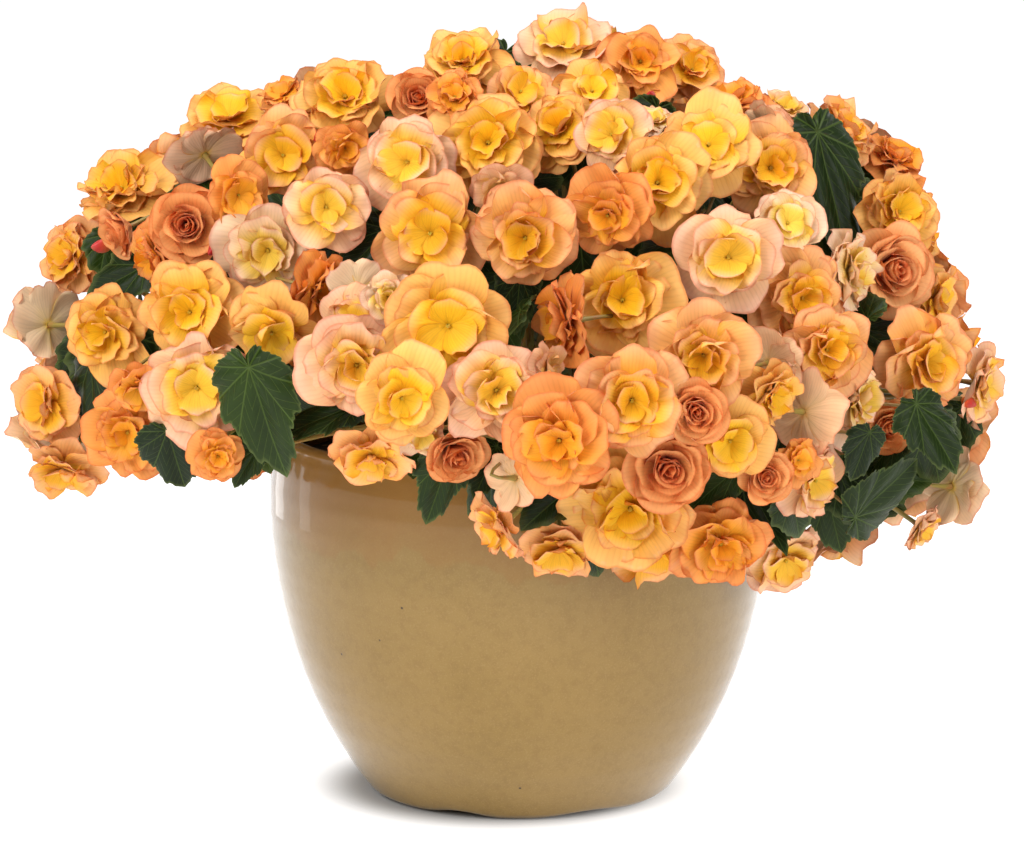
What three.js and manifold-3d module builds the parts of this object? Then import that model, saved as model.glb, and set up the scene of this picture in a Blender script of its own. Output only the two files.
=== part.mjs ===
// A double-flowered begonia in a glazed pot, in millimetres, +Z up. The origin is the centre of the pot's
// foot, on the surface it stands on; the viewer of the front stands at -Y.
//
// The plant is built as it grows. Fleshy stems rise from holes in the soil. Each carries leaves on long
// stalks and short side shoots. A flower spray starts at each side shoot: a stalk that forks into flower
// stalks, with a double bloom or a bud at the end of each. The blooms cover a wide dome that hangs over the
// rim of the pot.
import * as THREE from "three";
import { mergeVertices } from "three/addons/utils/BufferGeometryUtils.js";
import Module from "manifold-3d";

const wasm = await Module();
wasm.setup();

// ---------------------------------------------------------------- driving dimensions

const POT = { footRadius: 96, bellyRadius: 160, rimRadius: 155, height: 235, wall: 9, floor: 15, sides: 28 };
const SOIL = { top: 212, gap: 0.5, mound: 5, flat: 70 };
const GAP = 0.3; // between a flower spray and the side shoot it grows from, and between a stem and the soil
const CANOPY = { middleX: -6, level: 245, across: 305, deep: 272, up: 243, down: 100 };
const SKIRT = { radius: 192, below: 252 }; // blooms this low hang outside the pot
const VIEW = {
  distance: 3000,
  tilt: 10,
  targetX: -5,
  targetZ: 238,
  pixel: 0.64,
  middle: [512, 421],
};

// The outline of the plant in the view: pixels across, then the highest and the lowest pixel down there.
const OUTLINE = [
  [8, 425, 430], [24, 300, 480], [60, 210, 508], [95, 172, 508], [130, 150, 480], [180, 122, 490],
  [220, 88, 482], [300, 70, 480], [345, 65, 490], [430, 50, 515], [497, 35, 565], [560, 15, 585],
  [640, 25, 578], [700, 40, 590], [785, 90, 600], [845, 95, 570], [900, 135, 542], [935, 190, 540],
  [970, 290, 512], [1003, 352, 430], [1010, 392, 396],
];

const STEM = { count: 12, baseRadius: 5, tipRadius: 3.6, sides: 5, planted: 18 };
const CROWN = { level: 252, across: 108, up: 96 }; // the dome on which the stems end
const SIDE_SHOOT = { length: 12, radius: 2.2 };
const SPRAY = {
  count: 42, heart: 285, fork: 0.72, stalkRadius: 2.8, stalkSides: 4, pedicelRadius: 1, whorl: 5,
};
const LEAF = { thickness: 2, stalkRadius: 1.4, lowest: 0.15, clear: 2, leastClear: 1.5, apart: 7 };

// ---------------------------------------------------------------- the blooms seen from the front

// Each row: where its middle shows in the view (pixels across, pixels down), its width in mm, the way it
// faces (degrees to the right, degrees up), and its form: f full double, o open with broad petals, r half-
// open rose.
const FRONT_BLOOMS = [
  [122, 190, 62, -35, 55, "f"],
  [72, 257, 50, -45, 5, "f"],
  [45, 325, 54, -130, -5, "o"],
  [106, 332, 56, -18, 0, "f"],
  [47, 405, 54, -40, 0, "o"],
  [62, 470, 50, -25, -45, "o"],
  [128, 432, 54, -10, -5, "f"],
  [197, 387, 68, -5, -5, "o"],
  [190, 312, 58, -10, 5, "f"],
  [187, 225, 42, -5, 10, "r"],
  [157, 258, 50, -50, -20, "f"],
  [238, 195, 44, 25, 0, "o"],
  [283, 155, 54, 0, 5, "o"],
  [230, 118, 58, -10, 50, "o"],
  [203, 152, 44, -150, 30, "o"],
  [268, 250, 56, -5, -5, "f"],
  [326, 207, 54, 5, 5, "o"],
  [318, 290, 50, 60, -10, "f"],
  [272, 332, 52, -10, -30, "o"],
  [345, 98, 62, 0, 40, "f"],
  [282, 95, 34, -20, 60, "o"],
  [345, 148, 36, 15, -10, "f"],
  [407, 162, 60, 0, 10, "o"],
  [430, 233, 66, 0, 0, "o"],
  [418, 98, 32, 0, 20, "r"],
  [463, 62, 52, -5, 50, "f"],
  [488, 143, 66, 0, 15, "f"],
  [520, 92, 44, 20, 30, "o"],
  [455, 97, 36, -10, 25, "f"],
  [563, 45, 60, 0, 50, "o"],
  [600, 48, 40, 20, 60, "o"],
  [640, 62, 48, 10, 30, "f"],
  [692, 70, 46, 20, 30, "f"],
  [592, 92, 44, 10, 40, "o"],
  [560, 128, 52, -20, 35, "f"],
  [525, 238, 62, 0, 5, "f"],
  [612, 135, 48, -10, 20, "o"],
  [657, 183, 62, 5, 15, "f"],
  [608, 215, 52, -15, -5, "f"],
  [708, 145, 60, 5, 25, "o"],
  [732, 103, 48, 10, 65, "f"],
  [785, 108, 34, 30, 60, "o"],
  [655, 120, 26, 0, 60, "o"],
  [770, 168, 60, 15, 10, "f"],
  [787, 223, 46, 10, 20, "o"],
  [728, 257, 64, 0, 5, "o"],
  [770, 128, 36, 150, 20, "o"],
  [842, 132, 54, 50, 45, "f"],
  [893, 160, 50, 50, 50, "f"],
  [898, 212, 56, 30, 15, "f"],
  [892, 270, 50, 25, 5, "r"],
  [935, 300, 42, 55, -5, "o"],
  [848, 272, 52, 65, 5, "f"],
  [802, 298, 58, 15, 5, "f"],
  [826, 350, 56, 20, 0, "f"],
  [622, 300, 64, 0, 5, "f"],
  [565, 322, 54, -70, -5, "f"],
  [703, 355, 58, 0, 0, "f"],
  [925, 362, 66, 30, 0, "f"],
  [980, 384, 56, 65, -5, "o"],
  [856, 398, 52, 60, 0, "f"],
  [887, 428, 30, 15, 0, "r"],
  [772, 394, 46, 40, -10, "f"],
  [806, 412, 46, 140, -10, "o"],
  [770, 362, 40, 150, 0, "o"],
  [632, 400, 66, 0, 0, "f"],
  [560, 440, 66, -20, -5, "f"],
  [697, 412, 34, 10, 0, "r"],
  [730, 441, 50, 5, -5, "o"],
  [668, 468, 44, 5, 0, "r"],
  [630, 508, 74, 0, -10, "f"],
  [558, 550, 50, -5, -40, "o"],
  [497, 528, 42, -50, -20, "o"],
  [720, 543, 58, 10, -20, "f"],
  [785, 560, 54, 30, -30, "o"],
  [765, 477, 28, 10, 0, "r"],
  [798, 460, 30, 30, 0, "o"],
  [814, 480, 52, 50, -15, "o"],
  [357, 365, 58, -5, 0, "f"],
  [355, 322, 46, 0, 20, "o"],
  [402, 398, 52, 5, -5, "o"],
  [448, 325, 72, 0, -5, "o"],
  [496, 390, 62, 10, 0, "f"],
  [455, 455, 34, 20, -20, "r"],
  [370, 457, 48, -5, -40, "o"],
  [388, 297, 32, 10, 0, "f"],
  [356, 290, 38, -150, 0, "o"],
  [548, 372, 34, 60, 0, "o"],
  [517, 478, 38, 150, -10, "o"],
  [955, 487, 50, 130, -10, "o"],
  [218, 456, 32, 10, -10, "f"],
  [922, 528, 34, 60, -30, "o"],
  [500, 190, 36, 0, -20, "o"],
  [118, 232, 30, -60, -20, "r"],
  [137, 388, 36, 0, -30, "o"],
  [422, 435, 30, 10, -30, "o"],
];
const RED_BUDS = [
  [322, 145, 19, -20, 60],
  [217, 246, 15, -40, -30],
  [650, 99, 13, 0, 40],
  [103, 246, 14, -60, 0],
  [968, 402, 10, 60, -20],
  [300, 372, 12, -10, -50],
  [426, 404, 14, 20, -60],
  [786, 380, 14, 20, 0],
];

// ---------------------------------------------------------------- the leaves seen from the front

// Each row: where its middle shows in the view (pixels across, pixels down), how far behind the dome of
// blooms it lies, its length and width in mm, the way its upper face looks (degrees right, degrees up), and
// the way its tip points in the view (degrees clockwise from straight up).
const FRONT_LEAVES = [
  [264, 425, 24, 84, 62, -15, 0, 180],
  [318, 415, 34, 78, 62, 5, 0, 200],
  [176, 462, 22, 50, 44, -10, -10, 185],
  [88, 402, 26, 56, 44, -45, 0, 190],
  [186, 192, 30, 50, 44, -30, 50, 300],
  [414, 124, 30, 50, 42, 0, 30, 270],
  [838, 195, 28, 84, 60, 30, 30, 175],
  [940, 436, 14, 62, 56, 30, 0, 110],
  [890, 492, 20, 78, 70, 20, -5, 170],
  [834, 525, 26, 46, 40, 25, -10, 165],
  [440, 488, 20, 52, 36, -5, -15, 185],
  [487, 470, 24, 50, 40, 5, -10, 150],
  [118, 264, 26, 46, 38, -50, 10, 200],
  [244, 468, 6, 30, 24, -10, -10, 190],
  [862, 458, 10, 34, 28, 20, 0, 200],
];

// The far side of the plant is filled by rule.
const BACK_BLOOMS = {
  lattice: 172, lowest: 172, turnedAway: -0.24, room: 0.86, least: 0.7, widths: [56, 72], lean: 0.9,
  spare: 4, slides: 5, slide: 8,
};
const BACK_FORMS = { full: 0.2, rose: 0.06 };
const FRONT_TRIES = { count: 210, near: 60, shrink: 0.35 };
const SKIRT_LEAVES = { count: 15, radius: 222, height: 214, length: 66, width: 56 };
const INNER_LEAVES = { count: 18, depth: 0.8, length: 66, width: 54 };

// ---------------------------------------------------------------- small helpers

const GOLDEN_ANGLE = Math.PI * (3 - Math.sqrt(5));
const UP = new THREE.Vector3(0, 0, 1);
const NOWHERE = new THREE.Vector3(0, 0, 0);

const at = (x, y, z) => new THREE.Vector3(x, y, z);
const radians = THREE.MathUtils.degToRad;
const plus = (a, b, share = 1) => a.clone().addScaledVector(b, share);

// The n-th number from 0 to 1 of a numbered stream: looks random, and is the same on every run.
function draw(n, stream) {
  const s = Math.sin(n * 12.9898 + stream * 78.233) * 43758.5453;
  return s - Math.floor(s);
}

// The unit vector that looks so many degrees to the right of straight out at the viewer, and so many up.
function looking(right, up) {
  const level = Math.cos(radians(up));
  return at(Math.sin(radians(right)) * level, -Math.cos(radians(right)) * level, Math.sin(radians(up)));
}

// Evenly spread unit vectors on a sphere, from straight up down to a lowest height.
function spread(count, lowest) {
  return Array.from({ length: count }, (_, i) => {
    const z = 1 - ((1 - lowest) * (i + 0.5)) / count;
    const r = Math.sqrt(1 - z * z);
    return at(r * Math.cos(i * GOLDEN_ANGLE), r * Math.sin(i * GOLDEN_ANGLE), z);
  });
}

// Two unit vectors square to a third, turned about it by an angle.
function crossPair(normal, turn = 0) {
  const helper = Math.abs(normal.z) < 0.9 ? UP : at(0, 1, 0);
  const a = helper.clone().cross(normal).normalize().applyAxisAngle(normal, turn);
  return [a, normal.clone().cross(a)];
}

// ---------------------------------------------------------------- solids from rings and triangles

function solidOf(vertices, triangles) {
  const geometry = new THREE.BufferGeometry();
  const places = vertices.flatMap((p) => [p.x, p.y, p.z]);
  geometry.setAttribute("position", new THREE.Float32BufferAttribute(places, 3));
  geometry.setIndex(triangles.flat());
  return solidOfGeometry(geometry);
}

function solidOfGeometry(source) {
  const geometry = source.clone();
  geometry.deleteAttribute("normal");
  geometry.deleteAttribute("uv");
  const merged = mergeVertices(geometry, 1e-3);
  return new wasm.Manifold(
    new wasm.Mesh({
      numProp: 3,
      vertProperties: merged.attributes.position.array,
      triVerts: new Uint32Array(merged.index.array),
    }),
  );
}

// The union of solids that grow together, without loose scraps and with any sealed hollow filled.
function whole(parts) {
  const bodies = wasm.Manifold.union(parts).decompose();
  return bodies.reduce((largest, body) => (body.volume() > largest.volume() ? body : largest));
}

function geometryOf(solid) {
  const mesh = solid.getMesh();
  const geometry = new THREE.BufferGeometry();
  const positions = new Float32Array(mesh.numVert * 3);
  for (let i = 0; i < mesh.numVert; i++) {
    positions.set(mesh.vertProperties.subarray(i * mesh.numProp, i * mesh.numProp + 3), i * 3);
  }
  geometry.setAttribute("position", new THREE.BufferAttribute(positions, 3));
  geometry.setIndex(new THREE.BufferAttribute(mesh.triVerts, 1));
  return geometry;
}

// A ring of points round a centre, in the plane of two unit vectors. Its turns are angles in rising order.
function ring(centre, [a, b], turns, radii, lifts = null, normal = null) {
  const points = turns.map((turn, i) => {
    const r = Array.isArray(radii) ? radii[i] : radii;
    const p = plus(plus(centre, a, r * Math.cos(turn)), b, r * Math.sin(turn));
    return lifts ? plus(p, normal, Array.isArray(lifts) ? lifts[i] : lifts) : p;
  });
  return { points, turns };
}

const evenTurns = (count, start = 0) =>
  Array.from({ length: count }, (_, i) => start + (2 * Math.PI * i) / count);

// One closed skin through a stack of rings, from a flat first ring to a last ring that closes flat or on a
// point.
function skin(rings, tip = null) {
  const vertices = rings.flatMap((r) => r.points);
  const triangles = [];
  let start = 0;
  rings[0].points.slice(2).forEach((_, i) => triangles.push([0, i + 2, i + 1]));
  for (let k = 1; k < rings.length; k++) {
    const [low, high] = [rings[k - 1], rings[k]];
    const [n, m, next] = [low.points.length, high.points.length, start + low.points.length];
    const turnOf = (r, i, size) => r.turns[i % size] + (i >= size ? 2 * Math.PI : 0);
    let [i, j] = [0, 0];
    while (i < n || j < m) {
      const lowFirst = j >= m || (i < n && turnOf(low, i + 1, n) <= turnOf(high, j + 1, m));
      if (lowFirst) {
        triangles.push([start + (i % n), start + ((i + 1) % n), next + (j % m)]);
        i++;
      } else {
        triangles.push([next + (j % m), start + (i % n), next + ((j + 1) % m)]);
        j++;
      }
    }
    start = next;
  }
  const last = rings[rings.length - 1].points.length;
  if (tip) {
    vertices.push(tip);
    for (let i = 0; i < last; i++) triangles.push([start + i, start + ((i + 1) % last), start + last]);
  } else {
    for (let i = 2; i < last; i++) triangles.push([start, start + i - 1, start + i]);
  }
  return solidOf(vertices, triangles);
}

// A tube of few sides through a list of points, its radius changing evenly from the first to the last.
function tube(points, firstRadius, lastRadius, sides) {
  const last = points.length - 1;
  const rings = points.map((p, i) => {
    const along = points[Math.min(last, i + 1)].clone().sub(points[Math.max(0, i - 1)]).normalize();
    const radius = firstRadius + ((lastRadius - firstRadius) * i) / last;
    return ring(p, swungPair(crossPair(UP), UP, along), evenTurns(sides), radius);
  });
  return skin(rings);
}

// The pair of unit vectors that was square to one direction, swung with it to another.
function swungPair(pair, from, to) {
  const swing = new THREE.Quaternion().setFromUnitVectors(from, to);
  return pair.map((v) => v.clone().applyQuaternion(swing));
}

// Where a branch starts inside a stalk: just under the flat side of the stalk that it leaves by.
function rootUnderSide(point, pair, sides, stalkRadius, branchRadius, toward) {
  const depth = stalkRadius * Math.cos(Math.PI / sides) - 1.25 * branchRadius;
  const outward = evenTurns(sides, Math.PI / sides).map((turn) => {
    return plus(pair[0].clone().multiplyScalar(Math.cos(turn)), pair[1], Math.sin(turn));
  });
  const side = outward.reduce((best, v) => (v.dot(toward) > best.dot(toward) ? v : best));
  return plus(point, side, Math.max(depth, 0));
}

// ---------------------------------------------------------------- the view and the dome

// The sight line through a pixel of the view: where it starts, and one unit vector along it, away from the
// viewer.
const TILT = radians(VIEW.tilt);
const AWAY = at(0, Math.cos(TILT), -Math.sin(TILT));
const RISE = at(0, Math.sin(TILT), Math.cos(TILT));
const EYE = plus(at(VIEW.targetX, 0, VIEW.targetZ), AWAY, -VIEW.distance);
function sightLine(across, down) {
  const line = AWAY.clone().multiplyScalar(VIEW.distance);
  line.x += (across - VIEW.middle[0]) * VIEW.pixel;
  line.addScaledVector(RISE, (VIEW.middle[1] - down) * VIEW.pixel);
  return [EYE, line.normalize()];
}

// Whether a point shows inside the outline with so many pixels to spare, or is hidden behind the pot.
function insideOutline(p, spare) {
  const line = p.clone().sub(EYE);
  const pixel = (VIEW.pixel * line.dot(AWAY)) / VIEW.distance;
  const across = VIEW.middle[0] + line.x / pixel;
  const down = VIEW.middle[1] - line.dot(RISE) / pixel;
  const next = OUTLINE.findIndex(([x]) => x > across);
  if (next < 1) return false;
  const [a, b] = [OUTLINE[next - 1], OUTLINE[next]];
  const share = (across - a[0]) / (b[0] - a[0]);
  const [top, bottom] = [1, 2].map((i) => THREE.MathUtils.lerp(a[i], b[i], share));
  const behindPot = p.y > 0 && Math.abs(p.x) < POT.rimRadius - 15;
  return down > top + spare && (behindPot || down < bottom - spare);
}

// Under 1 inside the dome of blooms, and 1 on it.
function domeShare(p) {
  const rise = p.z - CANOPY.level;
  const half = rise > 0 ? CANOPY.up : CANOPY.down;
  return Math.hypot((p.x - CANOPY.middleX) / CANOPY.across, p.y / CANOPY.deep, rise / half);
}

function domeNormal(p) {
  const rise = p.z - CANOPY.level;
  const half = rise > 0 ? CANOPY.up : CANOPY.down;
  const out = at((p.x - CANOPY.middleX) / CANOPY.across ** 2, p.y / CANOPY.deep ** 2, rise / half ** 2);
  return out.normalize();
}

const overPot = (p) => Math.hypot(p.x, p.y) < SKIRT.radius && p.z < SKIRT.below;

// The first point on a sight line that meets the dome or the space over the pot, or else the point nearest
// the dome.
function onDome(across, down) {
  const [eye, line] = sightLine(across, down);
  const [near, far, step] = [VIEW.distance - 420, VIEW.distance + 420, 2];
  let [best, least] = [null, Infinity];
  for (let t = near; t < far; t += step) {
    const p = plus(eye, line, t);
    const share = domeShare(p);
    if (share <= 1 || overPot(p)) return p;
    if (share < least) [best, least] = [p, share];
  }
  return best;
}

// The point of the dome in a direction from the heart of the plant.
const HEART = at(0, 0, SPRAY.heart);
function domeAlong(direction) {
  let [inside, outside] = [0, 500];
  for (let i = 0; i < 30; i++) {
    const middle = (inside + outside) / 2;
    if (domeShare(plus(HEART, direction, middle)) < 1) inside = middle;
    else outside = middle;
  }
  return plus(HEART, direction, inside);
}

// ---------------------------------------------------------------- the three forms of bloom

// A bloom is a stack of rings from its widest petals in to its heart. Each ring stands at the petal tips,
// between them or at both, and lies so far out and so far up. The neck is how far back the bloom meets its
// stalk, and the heart how far up its middle is. All are shares of the radius.
const PETALS = 5;
const PETAL_TURN = (2 * Math.PI) / PETALS;
const WAVE = 0.06;
const OUTER_RING = ["both", [1, 0.8], [0.05, -0.04]];
const FORMS = {
  o: { neck: 0.42, heart: 0.1, top: 0.32, rings: [OUTER_RING, ["between", [0.64], [0.26]]] },
  f: {
    neck: 0.42,
    heart: 0.26,
    top: 0.42,
    rings: [
      OUTER_RING,
      ["tips", [0.52], [0.07]],
      ["between", [0.68], [0.26]],
      ["between", [0.28], [0.16]],
      ["tips", [0.38], [0.36]],
    ],
  },
  r: {
    neck: 0.75,
    heart: 0.36,
    top: 0.62,
    rings: [
      ["tips", [0.86], [-0.2]],
      ["between", [1], [0.42]],
      ["tips", [0.5], [0.22]],
      ["between", [0.5], [0.56]],
    ],
  },
};

// ---------------------------------------------------------------- where the blooms are

// How blooms that touch are moved apart: in so many rounds, by a share of what they lack, and at most so
// many mm.
const SETTLE = { rounds: 80, share: 0.35, clear: 1.5, towardViewer: 44, outward: 6, inward: 44 };

function frontBlooms() {
  return FRONT_BLOOMS.map(([across, down, width, right, up, form]) => ({
    middle: onDome(across, down),
    path: sightLine(across, down)[1].negate(),
    farthest: SETTLE.towardViewer,
    facing: looking(right, up),
    radius: width / 2,
    form,
  }));
}

// The blooms of the far side, spread evenly over the part of the dome that looks away from the viewer. One
// that would show outside the outline slides in towards the heart of the plant.
function backBlooms(front) {
  const blooms = [];
  spread(BACK_BLOOMS.lattice, -0.6).forEach((direction, i) => {
    const surface = domeAlong(direction);
    const normal = domeNormal(surface);
    if (surface.z < BACK_BLOOMS.lowest || normal.dot(AWAY) < BACK_BLOOMS.turnedAway) return;
    const [narrow, wide] = BACK_BLOOMS.widths;
    const radius = (narrow + (wide - narrow) * draw(i, 1)) / 2;
    const lean = at(draw(i, 2) - 0.5, draw(i, 3) - 0.5, draw(i, 4) - 0.5);
    const facing = plus(normal, lean, BACK_BLOOMS.lean).normalize();
    const form = draw(i, 5) < BACK_FORMS.full ? "f" : draw(i, 5) < 1 - BACK_FORMS.rose ? "o" : "r";
    const bloom = { middle: surface, path: normal, farthest: SETTLE.outward, facing, radius, form };
    for (let k = 0; k < BACK_BLOOMS.slides && !showsInside(bloom); k++) {
      bloom.middle = plus(bloom.middle, direction, -BACK_BLOOMS.slide);
    }
    const clearOf = (list, room) => list.every((b) => {
      return b.middle.distanceTo(bloom.middle) >= room * (b.radius + radius);
    });
    const free = clearOf(front, BACK_BLOOMS.room) && clearOf(blooms, BACK_BLOOMS.least);
    if (free && showsInside(bloom)) blooms.push(bloom);
  });
  return blooms;
}

function showsInside(bloom) {
  return evenTurns(8).every((turn) => {
    const u = plus(at(Math.cos(turn), 0, 0), RISE, Math.sin(turn));
    return insideOutline(plus(bloom.middle, u, reach(bloom, u)), BACK_BLOOMS.spare);
  });
}

// How far a bloom reaches from its middle along a unit vector.
function reach({ facing, radius, form }, u) {
  const up = u.dot(facing);
  const out = Math.sqrt(Math.max(0, 1 - up * up));
  const { neck, rings } = FORMS[form];
  const reaches = rings.flatMap(([, shares, lifts]) => shares.map((share, i) => share * out + lifts[i] * up));
  return radius * Math.max(-neck * up, WAVE * Math.abs(up) + Math.max(...reaches));
}

// The push apart along a path that just clears two blooms, 0 where they are clear.
function pushApart(a, b, path) {
  const gap = b.middle.clone().sub(a.middle);
  const between = gap.clone().normalize();
  const tries = [a.facing, b.facing, between, path].map((v) => v.clone());
  tries.push(plus(a.facing, b.facing), plus(between, a.facing), plus(between, b.facing));
  tries.push(plus(a.facing, between, -1), plus(b.facing, between, -1));
  let least = Infinity;
  for (const u of tries) {
    if (u.lengthSq() < 0.01) continue;
    u.normalize();
    if (u.dot(path) < 0) u.negate();
    const lack = reach(a, u) + reach(b, u.clone().negate()) + SETTLE.clear - gap.dot(u);
    if (lack <= 0) return 0;
    least = Math.min(least, lack / Math.max(u.dot(path), 0.15));
  }
  return least;
}

// Blooms that touch slide past each other, the nearer one out and the farther one in, each along its own
// path and no farther than it may.
function settle(blooms) {
  const starts = blooms.map((b) => b.middle.clone());
  for (let round = 0; round < SETTLE.rounds; round++) {
    for (let i = 0; i < blooms.length; i++) {
      for (let j = i + 1; j < blooms.length; j++) {
        const [a, b] = [blooms[i], blooms[j]];
        const gap = b.middle.clone().sub(a.middle);
        if (gap.length() >= a.radius + b.radius + SETTLE.clear) continue;
        const path = a.path.clone().add(b.path).normalize();
        const order = gap.dot(path) >= 0 ? 1 : -1;
        const push = pushApart(a, b, path.multiplyScalar(order));
        const move = Math.min(push, 6) * SETTLE.share;
        a.middle.addScaledVector(a.path, -order * move);
        b.middle.addScaledVector(b.path, order * move);
      }
    }
    blooms.forEach((b, i) => {
      const out = b.middle.clone().sub(starts[i]).dot(b.path);
      const kept = THREE.MathUtils.clamp(out, -SETTLE.inward, b.farthest);
      b.middle.addScaledVector(b.path, kept - out);
      if (overPot(b.middle)) b.middle.addScaledVector(b.path, 2);
    });
  }
}

const blooms = frontBlooms();
blooms.push(...backBlooms(blooms));
settle(blooms);
blooms.forEach((bloom, n) => (bloom.n = n));

// ---------------------------------------------------------------- a bloom and its flower stalk

function bloomSolid(bloom) {
  const { middle, facing, radius, form, n, route } = bloom;
  const pair = bloomPair(bloom);
  const turns = {
    tips: evenTurns(PETALS),
    between: evenTurns(PETALS, PETAL_TURN / 2),
    both: evenTurns(2 * PETALS),
  };
  const rings = stalkRings(route, facing, pair);
  FORMS[form].rings.forEach(([where, shares, lifts]) => {
    const wave = (i) => WAVE * (where === "both" ? 2 : 1) * (draw(n * 31 + i, 7) - 0.5);
    const radii = turns[where].map((_, i) => radius * shares[i % shares.length]);
    const rises = turns[where].map((_, i) => radius * (lifts[i % lifts.length] + wave(i)));
    rings.push(ring(middle, pair, turns[where], radii, rises, facing));
  });
  return skin(rings, plus(middle, facing, radius * FORMS[form].heart));
}

const bloomPair = ({ facing, n }) => crossPair(facing, 2 * Math.PI * draw(n, 6));

function budSolid({ middle, facing, length, route }) {
  const pair = crossPair(facing);
  const rings = stalkRings(route, facing, pair);
  rings.push(ring(middle, pair, evenTurns(4), length * 0.32));
  return skin(rings, plus(middle, facing, length * 0.6));
}

// The rings of a flower stalk along its route. It has three sides, and four below the fork of the spray.
function stalkRings(route, facing, pair) {
  return route.map(({ point, radius, sides = 3 }, i) => {
    const before = route[Math.max(0, i - 1)].point;
    const after = route[Math.min(route.length - 1, i + 1)].point;
    const along = i === route.length - 1 ? facing : after.clone().sub(before).normalize();
    return ring(point, swungPair(pair, facing, along), evenTurns(sides), radius);
  });
}

// ---------------------------------------------------------------- sprays and the stems they grow from

// The crown of each stem, spread over a smaller dome round the heart of the plant.
const crowns = spread(STEM.count, 0.02).map((d) => {
  return at(d.x * CROWN.across, d.y * CROWN.across, CROWN.level + d.z * CROWN.up);
});

function nearest(p, list, place) {
  const distance = (x) => place(x).distanceTo(p);
  return list.reduce((best, x) => (distance(x) < distance(best) ? x : best));
}

const fromHeart = (p) => p.clone().sub(HEART).normalize();

// Each bloom and bud belongs to the spray whose axis lies nearest to it. A spray grows from the nearest
// crown and forks below its blooms, and the forks of hanging sprays lie over the rim of the pot.
function growSprays() {
  const all = spread(SPRAY.count, -0.32).map((axis) => ({ axis, blooms: [], buds: [] }));
  blooms.forEach((b) => nearest(fromHeart(b.middle), all, (s) => s.axis).blooms.push(b));
  const grown = all.filter((s) => s.blooms.length);
  RED_BUDS.forEach(([across, down, length, right, up]) => {
    const middle = plus(onDome(across, down), sightLine(across, down)[1], 14);
    const bud = { middle, length, facing: looking(right, up) };
    nearest(fromHeart(middle), grown, (s) => s.axis).buds.push(bud);
  });
  grown.forEach((spray) => {
    const mean = spray.blooms.reduce((sum, b) => plus(sum, b.middle, 1 / spray.blooms.length), at(0, 0, 0));
    const fork = plus(HEART, mean.sub(HEART), SPRAY.fork);
    if (fork.z < SKIRT.below + 4) {
      const level = Math.hypot(fork.x, fork.y);
      const out = Math.max(level, SKIRT.radius) / level;
      fork.set(fork.x * out, fork.y * out, SKIRT.below + 4);
    }
    spray.crown = nearest(fork, crowns, (c) => c);
    spray.along = fork.clone().sub(spray.crown).normalize();
    spray.start = plus(spray.crown, spray.along, SIDE_SHOOT.length + GAP);
    spray.fork = fork;
    routeStalks(spray);
  });
  return grown;
}

// The bloom straight ahead carries on the stalk of the spray, and the others branch off below the fork in
// turn.
function routeStalks(spray) {
  const ahead = (b) => b.middle.clone().sub(spray.fork).normalize().dot(spray.along);
  spray.blooms.sort((a, b) => ahead(b) - ahead(a));
  const { facing } = spray.blooms[0];
  const pair = swungPair(bloomPair(spray.blooms[0]), facing, spray.along);
  const { stalkRadius, stalkSides, pedicelRadius, whorl } = SPRAY;
  [...spray.blooms, ...spray.buds].forEach((flower, i) => {
    const back = flower.length ? flower.length * 0.5 : flower.radius * FORMS[flower.form].neck;
    const neck = plus(flower.middle, flower.facing, -back);
    const below = plus(spray.fork, spray.along, -whorl * i);
    const root = rootUnderSide(below, pair, stalkSides, stalkRadius, pedicelRadius, neck.clone().sub(below));
    flower.route = [{ point: root, radius: pedicelRadius }];
    if (i === 0) {
      flower.route = [spray.start, spray.fork]
        .map((point) => ({ point, radius: stalkRadius, sides: stalkSides }));
    }
    if (neck.clone().sub(root).normalize().dot(flower.facing) < 0.5) {
      flower.route.push({ point: plus(neck, flower.facing, -14), radius: pedicelRadius });
    }
    flower.route.push({ point: neck, radius: pedicelRadius + 0.5 });
  });
}

const sprays = growSprays();

function spraySolid(spray) {
  return whole([...spray.blooms.map(bloomSolid), ...spray.buds.map(budSolid)]);
}

// ---------------------------------------------------------------- leaves

// One half of the blade's edge, from the foot to the tip, as shares of its length and width, with coarse
// teeth.
const LEAF_EDGE = [
  [-0.1, 0.22],
  [0.05, 0.46],
  [0.2, 0.41],
  [0.37, 0.49],
  [0.5, 0.33],
  [0.7, 0.26],
];
const LEAF_RIB = [0.34, 0.68];
const LEAF_FORM = { wideHalf: 1.04, narrowHalf: 0.92, arch: 0.16, droop: 0.14, fold: 0.05 };

// The place on the blade so far along it and so far across it, as shares, and so far above its middle
// surface in mm.
function onBlade(leaf, x, y, lift = 0) {
  const side = leaf.normal.clone().cross(leaf.forward);
  const flat = plus(plus(leaf.foot, leaf.forward, x * leaf.length), side, y * leaf.width);
  return plus(flat, leaf.normal, bladeDrop(leaf.length, leaf.width, x, y) + lift);
}

// The blade arches down towards its tip and its sides.
function bladeDrop(length, width, x, y) {
  return -LEAF_FORM.droop * length * x * x - LEAF_FORM.arch * width * 2 * y * y;
}

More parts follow.
